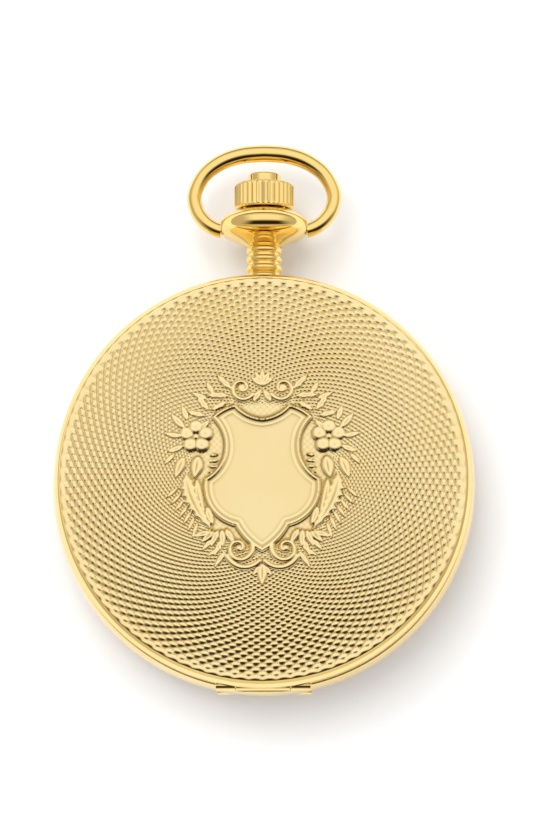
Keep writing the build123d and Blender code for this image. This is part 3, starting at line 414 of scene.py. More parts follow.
def bar(bm, start, end, width, base, height):
    """Flat printed stroke between two points."""
    start, end = Vector(start), Vector(end)
    run = end - start
    matrix = (
        Matrix.Translation(((start.x + end.x) / 2, (start.y + end.y) / 2, base + height / 2))
        @ Matrix.Rotation(math.atan2(run.y, run.x), 4, "Z")
        @ Matrix.Diagonal((run.length, width, height, 1))
    )
    bmesh.ops.create_cube(bm, size=1, matrix=matrix)


def ring(bm, inner, outer, base, height, centre=Vector((0, 0, 0)), steps=180):
    """Thin flat printed ring."""
    corners = [(inner, base), (outer, base), (outer, base + height), (inner, base + height)]
    verts = [bm.verts.new((centre.x + r, centre.y, z)) for r, z in corners]
    edges = [bm.edges.new((verts[k], verts[(k + 1) % 4])) for k in range(4)]
    bmesh.ops.spin(bm, geom=verts + edges, cent=centre, axis=(0, 0, 1), angle=2 * math.pi, steps=steps,
                   use_merge=True)
    bmesh.ops.recalc_face_normals(bm, faces=bm.faces)


numeral_height = 2.9 * mm
numeral_centre = 14.6 * mm
thick_stroke = 0.5 * mm
thin_stroke = 0.16 * mm
stroke_inset = 0.35 * mm
letter_widths = {"I": 0.75 * mm, "V": 1.9 * mm, "X": 1.9 * mm}


def letter(bm, kind, left, place):
    """The thick and thin strokes of one Roman letter."""
    half = numeral_height / 2
    width = letter_widths[kind]
    middle = left + width / 2
    near = left + stroke_inset
    far = left + width - stroke_inset
    lines = {
        "I": [((middle, -half), (middle, half), thick_stroke)],
        "V": [((near, half), (middle, -half), thick_stroke), ((far, half), (middle, -half), thin_stroke)],
        "X": [((near, half), (far, -half), thick_stroke), ((far, half), (near, -half), thin_stroke)],
    }[kind]
    before = set(bm.verts)
    for start, end, width_of in lines:
        bar(bm, (*start, 0), (*end, 0), width_of, dial_top, ink_height)
    drawn = [v for v in bm.verts if v not in before]
    bmesh.ops.transform(bm, matrix=place, verts=drawn)


def serifs(bm, left, right, place):
    """The two thin lines that close a numeral at its head and foot."""
    before = set(bm.verts)
    for level in (-numeral_height / 2, numeral_height / 2):
        bar(bm, (left, level, 0), (right, level, 0), thin_stroke, dial_top, ink_height)
    drawn = [v for v in bm.verts if v not in before]
    bmesh.ops.transform(bm, matrix=place, verts=drawn)


numerals = bmesh.new()
hour_names = ("XII", "I", "II", "III", "IIII", "V", "VI", "VII", "VIII", "IX", "X", "XI")
for hour, word in enumerate(hour_names):
    if hour == 6:  # the small seconds dial takes its place
        continue
    place = Matrix.Rotation(-math.radians(30 * hour), 4, "Z") @ Matrix.Translation((0, numeral_centre, 0))
    left = -sum(letter_widths[kind] for kind in word) / 2
    serifs(numerals, left, -left, place)
    for kind in word:
        letter(numerals, kind, left, place)
        left += letter_widths[kind]
finished(numerals, "dial_numerals", ink, "case", "dial_enamel")

track = bmesh.new()
track_inner = 17.2 * mm
track_outer = 18.2 * mm
for radius in (track_inner, track_outer):
    ring(track, radius, radius + 0.09 * mm, dial_top, ink_height)
for minute in range(60):
    angle = math.radians(6 * minute)
    along = Vector((math.sin(angle), math.cos(angle), 0))
    stroke = 0.32 * mm if minute % 5 == 0 else 0.1 * mm
    bar(track, along * track_inner, along * track_outer, stroke, dial_top, ink_height)
for radius in (2.75 * mm, 3.35 * mm):
    ring(track, radius, radius + 0.06 * mm, small_seconds_floor, ink_height, small_seconds_at, 90)
for second in range(60):
    angle = math.radians(6 * second)
    along = Vector((math.sin(angle), math.cos(angle), 0))
    inner = 2.45 * mm if second % 15 == 0 else 2.75 * mm
    stroke = 0.16 * mm if second % 5 == 0 else 0.05 * mm
    bar(track, small_seconds_at + along * inner, small_seconds_at + along * 3.35 * mm, stroke,
        small_seconds_floor, ink_height)
finished(track, "dial_minute_track", ink, "case", "dial_enamel")

# ------------------------------------------------------------------ hands
# Spade hands of thin steel, filed to shape, polished on top and blued by heat. Each is pressed on
# its own arbor; their shapes are the frame's own.
coat(blued_steel, "hour_hand", "minute_hand", "seconds_hand")

# ------------------------------------------------------------------ crystals
# Two thin discs of ground and polished mineral glass, pressed into the front bezel over the dial
# and into the inner back rim over the movement.
glass, glass_tree, glass_shader = new_finish("clear_glass", (0.98, 0.99, 0.99), 0.0, 0.02)
glass_shader.inputs["Transmission Weight"].default_value = 1.0
glass_shader.inputs["IOR"].default_value = 1.5
glass_polish = spread(glass_tree, grain(glass_tree, 700, 4), 0.005, 0.03)
glass_tree.links.new(glass_polish, glass_shader.inputs["Roughness"])
coat(glass, "crystal", "cuvette_glass")

# ------------------------------------------------------------------ pendant
# Turned neck with three rings and a flattened ball on top, drilled for the bow's pivots and
# flattened at each side, in plated brass polished brighter than the covers.
bright_gold = gold_plate("bright_gold", (0.95, 0.72, 0.28), (0.93, 0.67, 0.22), 0.045, 0.04)
stem_height = 6.6 * mm
stem_foot = Vector((0, 0, stem_height))


def arc(centre, radius, start, end, count):
    """Points on a circle, angles in degrees."""
    turn = [math.radians(start + (end - start) * k / count) for k in range(count + 1)]
    return [(centre[0] + radius * math.cos(a), centre[1] + radius * math.sin(a)) for a in turn]


def smooth_line(points, count):
    """Smooth curve through a few points, count steps to each span."""
    drawn = []
    spans = len(points) - 1
    for k in range(spans):
        before = points[max(k - 1, 0)]
        after = points[min(k + 2, spans)]
        for step in range(count):
            t = step / count
            weights = (
                -0.5 * t + t * t - 0.5 * t ** 3,
                1 - 2.5 * t * t + 1.5 * t ** 3,
                0.5 * t + 2 * t * t - 1.5 * t ** 3,
                -0.5 * t * t + 0.5 * t ** 3,
            )
            around = (before, points[k], points[k + 1], after)
            drawn.append(tuple(sum(w * p[i] for w, p in zip(weights, around)) for i in (0, 1)))
    drawn.append(tuple(points[-1]))
    return drawn


def turned_on_stem(profile, steps):
    """Profile of (radius, y) in millimetres turned about the winding axis."""
    bm = bmesh.new()
    verts = [bm.verts.new((r * mm, y * mm, stem_height)) for r, y in profile]
    edges = [bm.edges.new((a, b)) for a, b in zip(verts, verts[1:] + verts[:1])]
    bmesh.ops.spin(bm, geom=verts + edges, cent=stem_foot, axis=(0, 1, 0), angle=2 * math.pi, steps=steps,
                   use_merge=True)
    bmesh.ops.remove_doubles(bm, verts=bm.verts, dist=1e-7)
    bmesh.ops.recalc_face_normals(bm, faces=bm.faces)
    return bm


neck_foot = 23.0
bulb_top = 31.8
stem_bore = 0.8
bulb_flat_at = 4.9
ring_centre_radius = 1.66
ring_wire_radius = 0.44
neck_rings = [(2.12, neck_foot), (2.12, 24.1), (1.95, 24.35)]
for ring_y in (25.0, 26.05, 27.1):
    neck_rings += arc((ring_centre_radius, ring_y), ring_wire_radius, -72, 72, 8)
bulb = smooth_line([(1.98, 27.62), (2.75, 28.0), (4.15, 28.6), (4.98, 29.2), (5.25, 29.9), (5.06, 30.6),
                    (4.3, 31.25), (3.3, 31.7), (2.8, bulb_top)], 5)
pendant_bm = turned_on_stem([(stem_bore, neck_foot)] + neck_rings + bulb + [(stem_bore, bulb_top)], 96)
for side in (-1, 1):
    cut = bmesh.ops.bisect_plane(
        pendant_bm, geom=pendant_bm.verts[:] + pendant_bm.edges[:] + pendant_bm.faces[:],
        plane_co=(side * bulb_flat_at * mm, 0, 0), plane_no=(side, 0, 0), clear_outer=True)
    rim = [e for e in cut["geom_cut"] if isinstance(e, bmesh.types.BMEdge)]
    bmesh.ops.holes_fill(pendant_bm, edges=rim, sides=0)
finished(pendant_bm, "pendant_body", bright_gold, "case", "gold_polished", "pendant")

# ------------------------------------------------------------------ bow
# A ring of plated brass wire, drawn thicker at the top and bent to a flattened D. Its ends turn in
# to two short pivots, which are sprung into the holes of the pendant's ball.
bow_route = ((0, 38.6), (2.6, 38.38), (5.0, 37.55), (6.95, 36.0), (8.02, 33.8), (7.75, 31.95), (6.85, 30.6),
             (5.7, 29.8), (4.3, 29.35))
wire_radii = (1.0, 0.99, 0.95, 0.88, 0.84, 0.84, 0.86, 0.86, 0.86)
wire_end = 5.0
pivot_y = 29.6
pivot_middle = 4.75
pivot_radius = 0.48
pivot_length = 1.2
bow_line = smooth_line(bow_route, 8)
bow_swell = smooth_line([(x, r) for (x, _), r in zip(bow_route, wire_radii)], 8)
bow_curve = bpy.data.curves.new("bow_wire", "CURVE")
bow_curve.dimensions = "3D"
bow_curve.bevel_depth = mm
bow_curve.bevel_resolution = 8
bow_spline = bow_curve.splines.new("POLY")
route = [(x, y, r) for (x, y), (_, r) in zip(bow_line, bow_swell)]
route = [(-x, y, r) for x, y, r in route][:0:-1] + route
bow_spline.points.add(len(route) - 1)
for point, (x, y, radius) in zip(bow_spline.points, route):
    point.co = (x * mm, y * mm, stem_height, 1)
    point.radius = radius
bow_drawn = bpy.data.objects.new("bow_wire_line", bow_curve)
bpy.context.scene.collection.objects.link(bow_drawn)
bow_bm = bmesh.new()
bow_bm.from_mesh(bpy.data.meshes.new_from_object(bow_drawn))
bpy.data.objects.remove(bow_drawn)
bmesh.ops.remove_doubles(bow_bm, verts=bow_bm.verts, dist=1e-6)
for side in (-1, 1):
    bmesh.ops.bisect_plane(
        bow_bm, geom=bow_bm.verts[:] + bow_bm.edges[:] + bow_bm.faces[:],
        plane_co=(side * wire_end * mm, 0, 0), plane_no=(side, 0, 0))
stubs = [v for v in bow_bm.verts if abs(v.co.x) < (wire_end - 0.001) * mm and v.co.y < 32 * mm]
bmesh.ops.delete(bow_bm, geom=stubs, context="VERTS")
open_edges = [e for e in bow_bm.edges if e.is_boundary]
bmesh.ops.holes_fill(bow_bm, edges=open_edges, sides=0)
for side in (-1, 1):
    pivot_place = Matrix.Translation((side * pivot_middle * mm, pivot_y * mm, stem_height))
    bmesh.ops.create_cone(
        bow_bm, cap_ends=True, segments=24, radius1=pivot_radius * mm, radius2=pivot_radius * mm,
        depth=pivot_length * mm, matrix=pivot_place @ Matrix.Rotation(math.pi / 2, 4, "Y"))
bmesh.ops.recalc_face_normals(bow_bm, faces=bow_bm.faces)
finished(bow_bm, "bow_ring", bright_gold, "bow", "gold_polished", "bow")

# ------------------------------------------------------------------ crown
# Winding crown of plated brass, turned and then cut with straight flutes between two plain rounded
# shoulders. It screws onto the winding stem and is hollow for the release button.
crown_foot = 31.9
crown_top = 34.95
crown_radius = 3.43
crown_bore = 0.72
foot_hollow_radius = 2.9
foot_hollow_depth = 0.7
foot_round = 0.4
head_round = 0.55
button_well_radius = 1.95
button_well_floor = crown_top - 1.05
fluted_length = crown_top - crown_foot - foot_round - head_round
crown_profile = (
    [(crown_bore, crown_foot + foot_hollow_depth), (foot_hollow_radius, crown_foot + foot_hollow_depth),
     (foot_hollow_radius, crown_foot + 0.05)]
    + arc((crown_radius - foot_round, crown_foot + foot_round), foot_round, -90, 0, 6)
    + [(crown_radius, crown_foot + foot_round + fluted_length * k / 8) for k in range(1, 9)]
    + arc((crown_radius - head_round, crown_top - head_round), head_round, 0, 90, 7)
    + [(button_well_radius, crown_top), (button_well_radius, button_well_floor),
       (crown_bore, button_well_floor)]
)
flutes = 36
flute_steps = 6
flute_depth = 0.17
flute_floor_radius = 3.05
crown_bm = turned_on_stem(crown_profile, flutes * flute_steps)
for v in crown_bm.verts:
    away = Vector((v.co.x, 0, v.co.z - stem_height))
    radius = away.length / mm
    if radius < flute_floor_radius:
        continue
    along = v.co.y / mm
    foot_fade = min(1, max(0, (along - crown_foot - 0.12) / 0.25))
    head_fade = min(1, max(0, (crown_top - 0.12 - along) / 0.3))
    turn = math.atan2(away.z, away.x) * flutes
    depth = flute_depth * foot_fade * head_fade * (0.5 - 0.5 * math.cos(turn)) ** 0.6
    v.co -= away.normalized() * depth * mm
finished(crown_bm, "crown_fluted", bright_gold, "crown_and_stem", "gold_polished", "crown")

# ------------------------------------------------------------------ release button
# Plain polished push piece of plated brass on a thin rod through the crown and the pendant.
# Pressing it pushes the catch back and lets the front cover spring open.
button_foot = 34.75
button_radius = 1.88
push_rod_radius = 0.3
push_rod_length = 12.6
push_rod_middle = 28.45
button_profile = (
    [(0.0, button_foot), (button_radius, button_foot), (button_radius, 35.75)]
    + arc((1.58, 35.8), 0.3, 0, 70, 5)
    + [(1.2, 36.15), (0.6, 36.18), (0.0, 36.2)]
)
button_bm = turned_on_stem(button_profile, 72)
push_rod_place = Matrix.Translation((0, push_rod_middle * mm, stem_height))
bmesh.ops.create_cone(
    button_bm, cap_ends=True, segments=20, radius1=push_rod_radius * mm, radius2=push_rod_radius * mm,
    depth=push_rod_length * mm, matrix=push_rod_place @ Matrix.Rotation(math.pi / 2, 4, "X"))
finished(button_bm, "release_button_cap", bright_gold, "button", "gold_polished", "release_button")

# ------------------------------------------------------------------ front cover shell
# Sprung lid raised from gold-plated sheet brass: polished inside, with a rolled rim and a sunk bed
# that holds the engine turning. Its middle knuckle is soldered on at six o'clock.
cover_radius = 23.45
cover_top = 14.0
cover_flat = 8.0
dome_radius = 89.08
corner_radius = 1.3
corner_centre = (22.15, 11.552)
corner_start = 22.36
cover_wall = 0.45
foot_chamfer = 0.15
hinge_y = -23.0
hinge_z = 9.425
knuckle_radius = 0.6
knuckle_room = 0.1
knuckle_bevel = 0.08
knuckle_half = 3.05
side_knuckle_end = 5.4


def cover_height(r):
    """Outer surface of the lid at a distance from the axis, in millimetres."""
    dome = cover_top - dome_radius + np.sqrt(dome_radius ** 2 - np.maximum(r - cover_flat, 0) ** 2)
    corner = corner_centre[1] + np.sqrt(np.maximum(corner_radius ** 2 - (r - corner_centre[0]) ** 2, 0))
    return np.where(r < corner_start, dome, corner)


bed_depth = 0.42
bed_radii = [0.0, 4.0, 8.0, 11.0, 14.0, 17.0, 20.0, 21.5, 22.4, 22.8]
bed = [(r, float(cover_height(np.float64(r))) - bed_depth) for r in bed_radii]


def lid_profile(foot):
    """A lid's (radius, z) section: bed, rolled rim, wall down to its foot, polished inside."""
    rim = [(22.84, 12.68)] + arc(corner_centre, corner_radius, 54, 0, 10)
    inner_radius = cover_radius - cover_wall
    wall = [(cover_radius, foot + foot_chamfer), (cover_radius - 0.1, foot), (inner_radius + 0.05, foot),
            (inner_radius, foot + foot_chamfer)]
    inner_corner = arc(corner_centre, corner_radius - cover_wall, 0, 75, 6)
    inner_radii = (21.9, 20.0, 17.0, 14.0, 11.0, 8.0, 4.0, 0.0)
    inside = [(r, float(cover_height(np.float64(r))) - cover_wall) for r in inner_radii]
    return bed + rim + wall + inner_corner + inside


def spun_cover(profile, steps):
    """A lid's (radius, z) profile turned about the case axis, in metres."""
    bm = bmesh.new()
    verts = [bm.verts.new((r * mm, 0, z * mm)) for r, z in profile]
    edges = [bm.edges.new((a, b)) for a, b in zip(verts, verts[1:])]
    bmesh.ops.spin(bm, geom=verts + edges, cent=(0, 0, 0), axis=(0, 0, 1), angle=2 * math.pi, steps=steps,
                   use_merge=True)
    bmesh.ops.remove_doubles(bm, verts=bm.verts, dist=1e-7)
    bmesh.ops.recalc_face_normals(bm, faces=bm.faces)
    return bm


def rod(bm, radius, x0, x1, y, z):
    """Round rod along X, in millimetres."""
    place = Matrix.Translation(((x0 + x1) / 2 * mm, y * mm, z * mm)) @ Matrix.Rotation(math.pi / 2, 4, "Y")
    bmesh.ops.create_cone(bm, cap_ends=True, segments=32, radius1=radius * mm, radius2=radius * mm,
                          depth=(x1 - x0) * mm, matrix=place)


def without(piece, cutter_bm):
    """Cuts the cutter out of a piece's mesh."""
    cutter_mesh = bpy.data.meshes.new("cutter")
    cutter_bm.to_mesh(cutter_mesh)
    cutter_bm.free()
    cutter = bpy.data.objects.new("cutter", cutter_mesh)
    bpy.context.scene.collection.objects.link(cutter)
    cut = piece.modifiers.new("cut", "BOOLEAN")
    cut.operation = "DIFFERENCE"
    cut.solver = "EXACT"
    cut.object = cutter
    bpy.context.view_layer.update()
    made = bpy.data.meshes.new_from_object(piece.evaluated_get(bpy.context.evaluated_depsgraph_get()))
    piece.modifiers.clear()
    piece.data = made
    bpy.data.objects.remove(cutter)


def hinged_lid(name, body, profile, axis_z, replaced):
    """Spun lid with room for the band's side knuckles, and its own middle knuckle."""
    lid = finished(spun_cover(profile, 240), name + "_shell", polished_gold, body, "gold_engraved", replaced)
    side_room = bmesh.new()
    for side in (-1, 1):
        ends = sorted((side * knuckle_half, side * side_knuckle_end))
        rod(side_room, knuckle_radius + knuckle_room, ends[0], ends[1], hinge_y, axis_z)
    without(lid, side_room)
    knuckle = bmesh.new()
    rod(knuckle, knuckle_radius, -knuckle_half, knuckle_half, hinge_y, axis_z)
    ends = [e for e in knuckle.edges if abs(abs(e.verts[0].co.x) - knuckle_half * mm) < 1e-6
            and abs(e.verts[0].co.x - e.verts[1].co.x) < 1e-7]
    bmesh.ops.bevel(knuckle, geom=ends, offset=knuckle_bevel * mm, segments=2, profile=0.5, affect="EDGES",
                    material=-1)
    finished(knuckle, name + "_knuckle", polished_gold, body, "gold_engraved")


front_foot = 9.45
hinged_lid("front_cover", "front_cover", lid_profile(front_foot), hinge_z, "front_cover")

# ------------------------------------------------------------------ front cover engine turning
# Barleycorn engine turning, cut in the plated brass of the lid by a rose engine. Two families of
# grooves spiral out in opposite ways from the middle and leave rows of raised grains, small near the
# shield and wide at the rim.
pattern_inner = 8.2
pattern_outer = 22.95
grains_round = 90
row_growth = 0.040
groove_share = 0.0115
skin_sink = 0.22
deepest_groove = 0.18
grain_roundness = 1.05
sink_start = 19.0
sink_run = 3.7
least_sink = 0.01
rim_fade = 0.9


def shade_and_dirt_in_hollows(finish, deep, reach):
    """Tints a finish towards dark brown where the piece's own depth attribute nears 0: painted shade in the
    hollows, with some old dirt.
    """
    tree = finish.node_tree
    shader = tree.nodes["Principled BSDF"]
    plain = shader.inputs["Base Color"].links[0].from_socket
    depth = tree.nodes.new("ShaderNodeAttribute")
    depth.attribute_name = "depth"
    shade = tree.nodes.new("ShaderNodeMix")
    shade.data_type = "RGBA"
    shade.inputs["A"].default_value = (*deep, 1)
    tree.links.new(plain, shade.inputs["B"])
    tree.links.new(spread(tree, depth.outputs["Fac"], 0, 1, 0.0, reach), shade.inputs["Factor"])
    tree.links.new(shade.outputs["Result"], shader.inputs["Base Color"])


engraved_gold = gold_plate("engraved_gold", (0.95, 0.78, 0.42), (0.93, 0.73, 0.35), 0.12, 0.08)
# the grooves and the relief's hollows go brown: painted shade, with some old dirt
shade_and_dirt_in_hollows(engraved_gold, (0.52, 0.36, 0.12), 0.35)


def engine_turned(name, body, inner, flip, samples):
    """Ring of barleycorn grains between inner and the rim, in a lid lying face up or face down."""
    rows = round(math.log(pattern_outer / inner) / row_growth * samples)
    radii = [pattern_outer * math.exp(-row_growth / samples * k) for k in range(rows + 1)]
    bm = bmesh.new()
    top = [bm.verts.new((r * mm, 0, 0)) for r in radii]
    under_radii = [radii[-1]] + [r for r in bed_radii if radii[-1] < r < radii[0]] + [radii[0]]
    under = [bm.verts.new((r * mm, 0, -mm)) for r in under_radii]
    line = top + under
    edges = [bm.edges.new((a, b)) for a, b in zip(line, line[1:] + line[:1])]
    bmesh.ops.spin(bm, geom=line + edges, cent=(0, 0, 0), axis=(0, 0, 1), angle=2 * math.pi,
                   steps=grains_round * samples, use_merge=True)
    bmesh.ops.remove_doubles(bm, verts=bm.verts, dist=1e-7)
    bmesh.ops.recalc_face_normals(bm, faces=bm.faces)
    ring_piece = finished(bm, name, engraved_gold, body, "gold_engraved")
    mesh = ring_piece.data
    flat = np.zeros(len(mesh.vertices) * 3)
    mesh.vertices.foreach_get("co", flat)
    points = flat.reshape(-1, 3) / mm
    radius = np.hypot(points[:, 0], points[:, 1])
    turn = np.arctan2(points[:, 1], points[:, 0]) * grains_round / (2 * math.pi)
    row = np.log(radius / pattern_outer) / row_growth
    grain_height = np.abs(np.sin(math.pi * (turn + row)) * np.sin(math.pi * (turn - row)))
    grain_height **= grain_roundness
    sink = skin_sink - (skin_sink - least_sink) * np.clip((radius - sink_start) / sink_run, 0, 1) ** 2
    fade = np.clip((pattern_outer - radius) / rim_fade, 0, 1)
    groove = np.minimum(groove_share * radius, deepest_groove)
    height = cover_height(radius) - sink - groove * (1 - grain_height) * fade
    is_under = points[:, 2] < -0.5
    height = np.where(is_under, cover_height(radius) - bed_depth - 0.01, height)
    points[:, 2] = cover_top - height if flip else height
    mesh.vertices.foreach_set("co", (points * mm).ravel())
    # depth is 1 on the grains and 0 in the grooves; it drives the painted shade and old dirt in the grooves
    depth = mesh.attributes.new("depth", "FLOAT", "POINT")
    depth.data.foreach_set("value", 1 - (1 - grain_height) * fade)
    if flip:
        mesh.flip_normals()
    mesh.update()


engine_turned("front_cover_engine_turning", "front_cover", pattern_inner, False, 6)

# ------------------------------------------------------------------ shield and wreath
# The cover's middle is chased in low relief in the same gold-plated brass: a plain shield for a
# monogram in a doubled border, inside a wreath of scrolls, leaves and two flowers that overlaps the
# engine turning.
relief_half_x = 11.4
relief_half_y = 13.2
relief_step = 0.1
highest = 13.99
count_x = round(2 * relief_half_x / relief_step)
count_y = round(2 * relief_half_y / relief_step)
relief_bm = bmesh.new()
bmesh.ops.create_grid(relief_bm, x_segments=count_x, y_segments=count_y, size=1.0)
relief_mesh = bpy.data.meshes.new("front_cover_shield_and_wreath")
relief_bm.to_mesh(relief_mesh)
relief_bm.free()
relief_flat = np.zeros(len(relief_mesh.vertices) * 3)
relief_mesh.vertices.foreach_get("co", relief_flat)
relief_points = relief_flat.reshape(-1, 3)
X = relief_points[:, 0] * relief_half_x
Y = relief_points[:, 1] * relief_half_y
ground_level = -0.29
buried_level = -0.375
relief = np.full(len(X), buried_level)


def lay(height):
    """Adds a form to the relief: the higher surface wins."""
    np.maximum(relief, height, out=relief)


def dome_across(share):
    """Round section: 1 on the centre line, falling steeply to 0 at the edge."""
    return np.sqrt(np.clip(1 - share ** 2, 0, 1))


def leaf(at, aim_angle, length, width, top, bend=0.0, lobes=0, mirrored=True):
    """Pointed leaf from its stalk: rounded across, sunk along the vein, edges lobed or plain."""
    for side in (1, -1) if mirrored else (1,):
        a = math.radians(aim_angle)
        dx = X * side - at[0]
        dy = Y - at[1]
        u = dx * math.cos(a) + dy * math.sin(a)
        v = -dx * math.sin(a) + dy * math.cos(a) - bend * u ** 2 / length
        t = np.clip(u / length, 0, 1)
        half = width / 2 * np.sin(math.pi * t ** 0.8) ** 0.75
        if lobes:
            half = half * (1 - 0.3 * np.abs(np.sin(math.pi * lobes * t)))
        body = dome_across(v / np.maximum(half, 1e-3)) * (half > 0.01)
        vein = 0.35 * np.exp(-((v / (0.10 + 0.04 * width)) ** 2)) * np.sin(math.pi * t)
        height = ground_level + (top - ground_level) * (body ** 1.2 - vein) * (1 - 0.2 * t)
        lay(np.where(body > 0, height, buried_level))


def scroll(path, start_width, end_width, top, mirrored=True):
    """Rounded band along a path, narrowing from one width to the other."""
    for side in (1, -1) if mirrored else (1,):
        for k, (px, py) in enumerate(path):
            share = k / (len(path) - 1)
            half = (start_width + (end_width - start_width) * share) / 2
            d = np.hypot(X * side - px, Y - py) / half
            height = ground_level + (top - ground_level) * dome_across(d) ** 1.3
            lay(np.where(d < 1, height, buried_level))


def petal(at, radius, top, hollow=0.25, mirrored=True):
    """Round petal with a hollowed middle."""
    for side in (1, -1) if mirrored else (1,):
        d = np.hypot(X * side - at[0], Y - at[1]) / radius
        form = dome_across(d) ** 1.3 - hollow * np.exp(-((d / 0.4) ** 2))
        height = ground_level + (top - ground_level) * form
        lay(np.where(d < 1, height, buried_level))


def volute(centre, radius, start, turns, inward=0.8):
    """Spiral path from its outside to its eye; angles in degrees."""
    count = int(44 * abs(turns))
    path = []
    for k in range(count + 1):
        share = k / count
        a = math.radians(start + 360 * turns * share)
        r = radius * (1 - inward * share)
        path.append((centre[0] + r * math.cos(a), centre[1] + r * math.sin(a)))
    return path


def arc_through(a, b, c, count):
    """Points on the circle through three points, from a to c."""
    ax, ay = a[0] - b[0], a[1] - b[1]
    cx, cy = c[0] - b[0], c[1] - b[1]
    d = 2 * (ax * cy - ay * cx)
    ux = (cy * (ax * ax + ay * ay) - ay * (cx * cx + cy * cy)) / d
    uy = (ax * (cx * cx + cy * cy) - cx * (ax * ax + ay * ay)) / d
    centre = (b[0] + ux, b[1] + uy)
    radius = math.hypot(ux, uy)
    angles = [math.atan2(p[1] - centre[1], p[0] - centre[0]) for p in (a, b, c)]
    for k in (1, 2):
        while angles[k] - angles[k - 1] > math.pi:
            angles[k] -= 2 * math.pi
        while angles[k] - angles[k - 1] < -math.pi:
            angles[k] += 2 * math.pi
    return [(centre[0] + radius * math.cos(angles[0] + (angles[2] - angles[0]) * k / count),
             centre[1] + radius * math.sin(angles[0] + (angles[2] - angles[0]) * k / count))
            for k in range(count)]


shield_arcs = (
    ((0.0, 6.45), (1.75, 6.95), (3.05, 8.0)),
    ((3.05, 8.0), (4.35, 7.5), (5.45, 6.7)),
    ((5.45, 6.7), (4.05, 3.0), (6.3, -0.35)),
    ((6.3, -0.35), (5.35, -3.9), (2.85, -5.4)),
    ((2.85, -5.4), (1.75, -6.95), (0.0, -8.3)),
)
half_outline = [p for arcs in shield_arcs for p in arc_through(*arcs, 14)] + [(0.0, -8.3)]
outline = np.array(half_outline + [(-x, y) for x, y in half_outline[-2:0:-1]])


def outline_distance(corners):
    """Distance from every relief point to a closed outline, negative inside."""
    nearest = np.full(len(X), 1e9)
    inside = np.zeros(len(X), bool)
    following = np.roll(corners, -1, axis=0)
    for (x0, y0), (x1, y1) in zip(corners, following):
        ex, ey = x1 - x0, y1 - y0
        t = np.clip(((X - x0) * ex + (Y - y0) * ey) / (ex * ex + ey * ey), 0, 1)
        nearest = np.minimum(nearest, np.hypot(X - x0 - t * ex, Y - y0 - t * ey))
        crosses = ((y0 > Y) != (y1 > Y)) & (X < (x1 - x0) * (Y - y0) / (y1 - y0 + 1e-12) + x0)
        inside ^= crosses
    return np.where(inside, -nearest, nearest)


shield = outline_distance(outline)
# matted ground between the shield and the wreath
matt = ground_level + 0.008 * np.sin(9 * X) * np.sin(9 * Y)
lay(np.where((X / 8.7) ** 2 + (Y / 9.4) ** 2 < 1, matt, buried_level))
# top crest, rosettes and their leaf sprays
for fan in range(5):
    leaf((0.0, 10.3), 90 + (fan - 2) * 26, 2.1 - 0.2 * abs(fan - 2), 0.72, -0.02, mirrored=False)
scroll(volute((2.27, 10.0), 1.4, -150, 1.2), 0.72, 0.5, -0.02)
petal((2.27, 10.0), 0.6, -0.01, 0.1)
leaf((1.0, 8.5), 122, 1.7, 0.8, -0.05)
leaf((3.4, 9.9), 40, 2.5, 1.1, -0.02, 0.1, 3)
leaf((3.7, 9.1), 10, 2.7, 1.1, -0.02, -0.15, 3)
leaf((3.9, 8.4), -20, 2.2, 0.9, -0.05, -0.1, 3)
leaf((5.5, 9.4), 60, 1.6, 0.75, -0.05)
leaf((6.2, 8.8), 22, 1.9, 0.8, -0.05)
leaf((6.0, 7.5), 48, 2.3, 1.1, -0.03, 0.1, 3)
leaf((6.3, 6.9), 8, 2.4, 1.0, -0.03, 0.1, 3)
leaf((5.9, 6.3), -38, 1.6, 0.8, -0.05)
# flowers and the leaves round them
leaf((8.7, 5.5), 42, 2.3, 0.95, -0.06, 0.1)
leaf((9.0, 4.6), 2, 2.1, 0.8, -0.08, 0.15)
leaf((8.8, 3.5), -25, 2.0, 0.85, -0.07, 0.1)
leaf((8.4, 6.4), 70, 1.8, 0.8, -0.07)
for petal_number in range(5):
    a = math.radians(90 + 72 * petal_number)
    petal((7.45 + 1.12 * math.cos(a), 4.5 + 1.12 * math.sin(a)), 0.86, -0.005, 0.2)
petal((7.45, 4.5), 0.42, -0.12, -0.2)
leaf((7.15, 2.3), -80, 2.5, 1.5, -0.02)
leaf((8.75, 2.2), -62, 2.6, 1.3, -0.03, -0.1)
leaf((9.8, 2.6), -45, 1.7, 0.7, -0.07)
# tall acanthus leaves down both sides, feathered on the outside
leaf((8.5, 0.3), -92, 6.4, 2.5, -0.005, -0.42, 8)
leaf((7.3, -0.2), -90, 4.8, 1.0, -0.05, -0.22)
leaf((6.2, -3.4), -104, 2.2, 0.9, -0.06, -0.1)
for feather in range(7):
    leaf((9.35 - 0.36 * feather, -1.2 - 0.66 * feather), -40 - 5 * feather, 1.9, 0.55, -0.05)
# leaf clusters at the lower corners
for cluster in range(5):
    leaf((4.1 + 0.42 * cluster, -5.9 - 0.08 * cluster), -120 + 26 * cluster, 2.0, 0.85, -0.03)
leaf((4.6, -7.2), -68, 1.9, 0.8, -0.04)
leaf((5.5, -7.1), -44, 1.8, 0.7, -0.05)
# C-scrolls under the shield, their tails and the hanging leaf
scroll(volute((2.6, -8.1), 1.6, 165, 1.15), 0.78, 0.5, -0.005)
scroll(arc_through((3.9, -9.0), (2.3, -10.2), (0.2, -9.4), 36), 0.85, 0.7, -0.01)
petal((2.6, -8.1), 0.46, -0.01, 0.0)
leaf((4.1, -8.4), -56, 2.3, 0.75, -0.03)
leaf((4.5, -8.0), -30, 2.0, 0.65, -0.05)
leaf((0.0, -9.8), -90, 2.5, 1.3, -0.02, mirrored=False)
leaf((0.25, -10.1), -52, 1.4, 0.6, -0.06)
# short engraver's strokes beside the waist
for stroke in range(4):
    leaf((4.9 + 0.04 * stroke, 2.5 - 0.68 * stroke), -8 + 3 * stroke, 1.05, 0.3, -0.14)
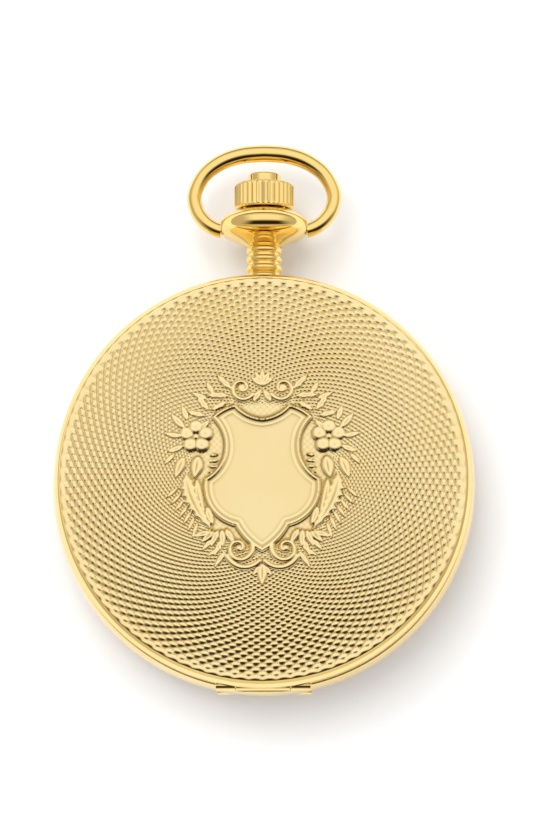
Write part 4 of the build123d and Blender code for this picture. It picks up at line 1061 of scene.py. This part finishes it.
# shield: ridge all round, a second finer one inside it, plain field
drop = np.clip(shield / 0.3, 0, 1)
plate = -0.15 + (ground_level + 0.15) * drop * drop * (3 - 2 * drop)
plate += 0.13 * np.exp(-((shield / 0.22) ** 2)) + 0.05 * np.exp(-(((shield + 0.62) / 0.16) ** 2))
relief = np.where(shield < 0, plate, np.where(shield < 0.35, np.maximum(relief, plate), relief))

# how far each point stands above what surrounds it, for the painted shade and old dirt in the creases between
# the forms
column = np.rint((X / relief_half_x + 1) / 2 * count_x).astype(int)
line = np.rint((Y / relief_half_y + 1) / 2 * count_y).astype(int)
around = np.full((line.max() + 1, column.max() + 1), buried_level)
around[line, column] = relief
for spread_step in range(6):
    around = (around + np.roll(around, 1, 0) + np.roll(around, -1, 0) + np.roll(around, 1, 1)
              + np.roll(around, -1, 1)) / 5
standing = np.clip(0.30 + (relief - around[line, column]) / 0.10, 0, 1)

centre_distance = np.hypot(X, Y)
relief_points[:, 0] = X
relief_points[:, 1] = Y
relief_points[:, 2] = np.minimum(cover_height(centre_distance) + relief, highest)
relief_mesh.vertices.foreach_set("co", (relief_points * mm).ravel())
relief_depth = relief_mesh.attributes.new("depth", "FLOAT", "POINT")
relief_depth.data.foreach_set("value", standing)
relief_bm = bmesh.new()
relief_bm.from_mesh(relief_mesh)
relief_bm.verts.ensure_lookup_table()
buried = [f for f in relief_bm.faces if all(relief[v.index] < buried_level + 0.01 for v in f.verts)]
bmesh.ops.delete(relief_bm, geom=buried, context="FACES")
bpy.data.meshes.remove(relief_mesh)
relief_piece = finished(relief_bm, "front_cover_shield_and_wreath", engraved_gold, "front_cover",
                        "gold_engraved")
thickness = relief_piece.modifiers.new("thickness", "SOLIDIFY")
thickness.thickness = 0.05 * mm
thickness.offset = -1

# ------------------------------------------------------------------ back cover
# The same lid of gold-plated brass for the back, with a shorter wall. It is engine-turned right in
# to a small plain disc and turns on its own pin.
back_inner = 3.0
back_foot = 10.25
back_hinge_z = 3.775
bed_floor = 13.56
back_bed = [(0.0, cover_top), (back_inner - 0.1, cover_top), (back_inner, cover_top - bed_depth)]
back_profile = back_bed + [(r, z) for r, z in lid_profile(back_foot) if r > back_inner or z < bed_floor]
back_section = [(r, cover_top - z) for r, z in back_profile]
hinged_lid("back_cover", "back_cover", back_section, back_hinge_z, "back_cover")
engine_turned("back_cover_engine_turning", "back_cover", back_inner, True, 4)
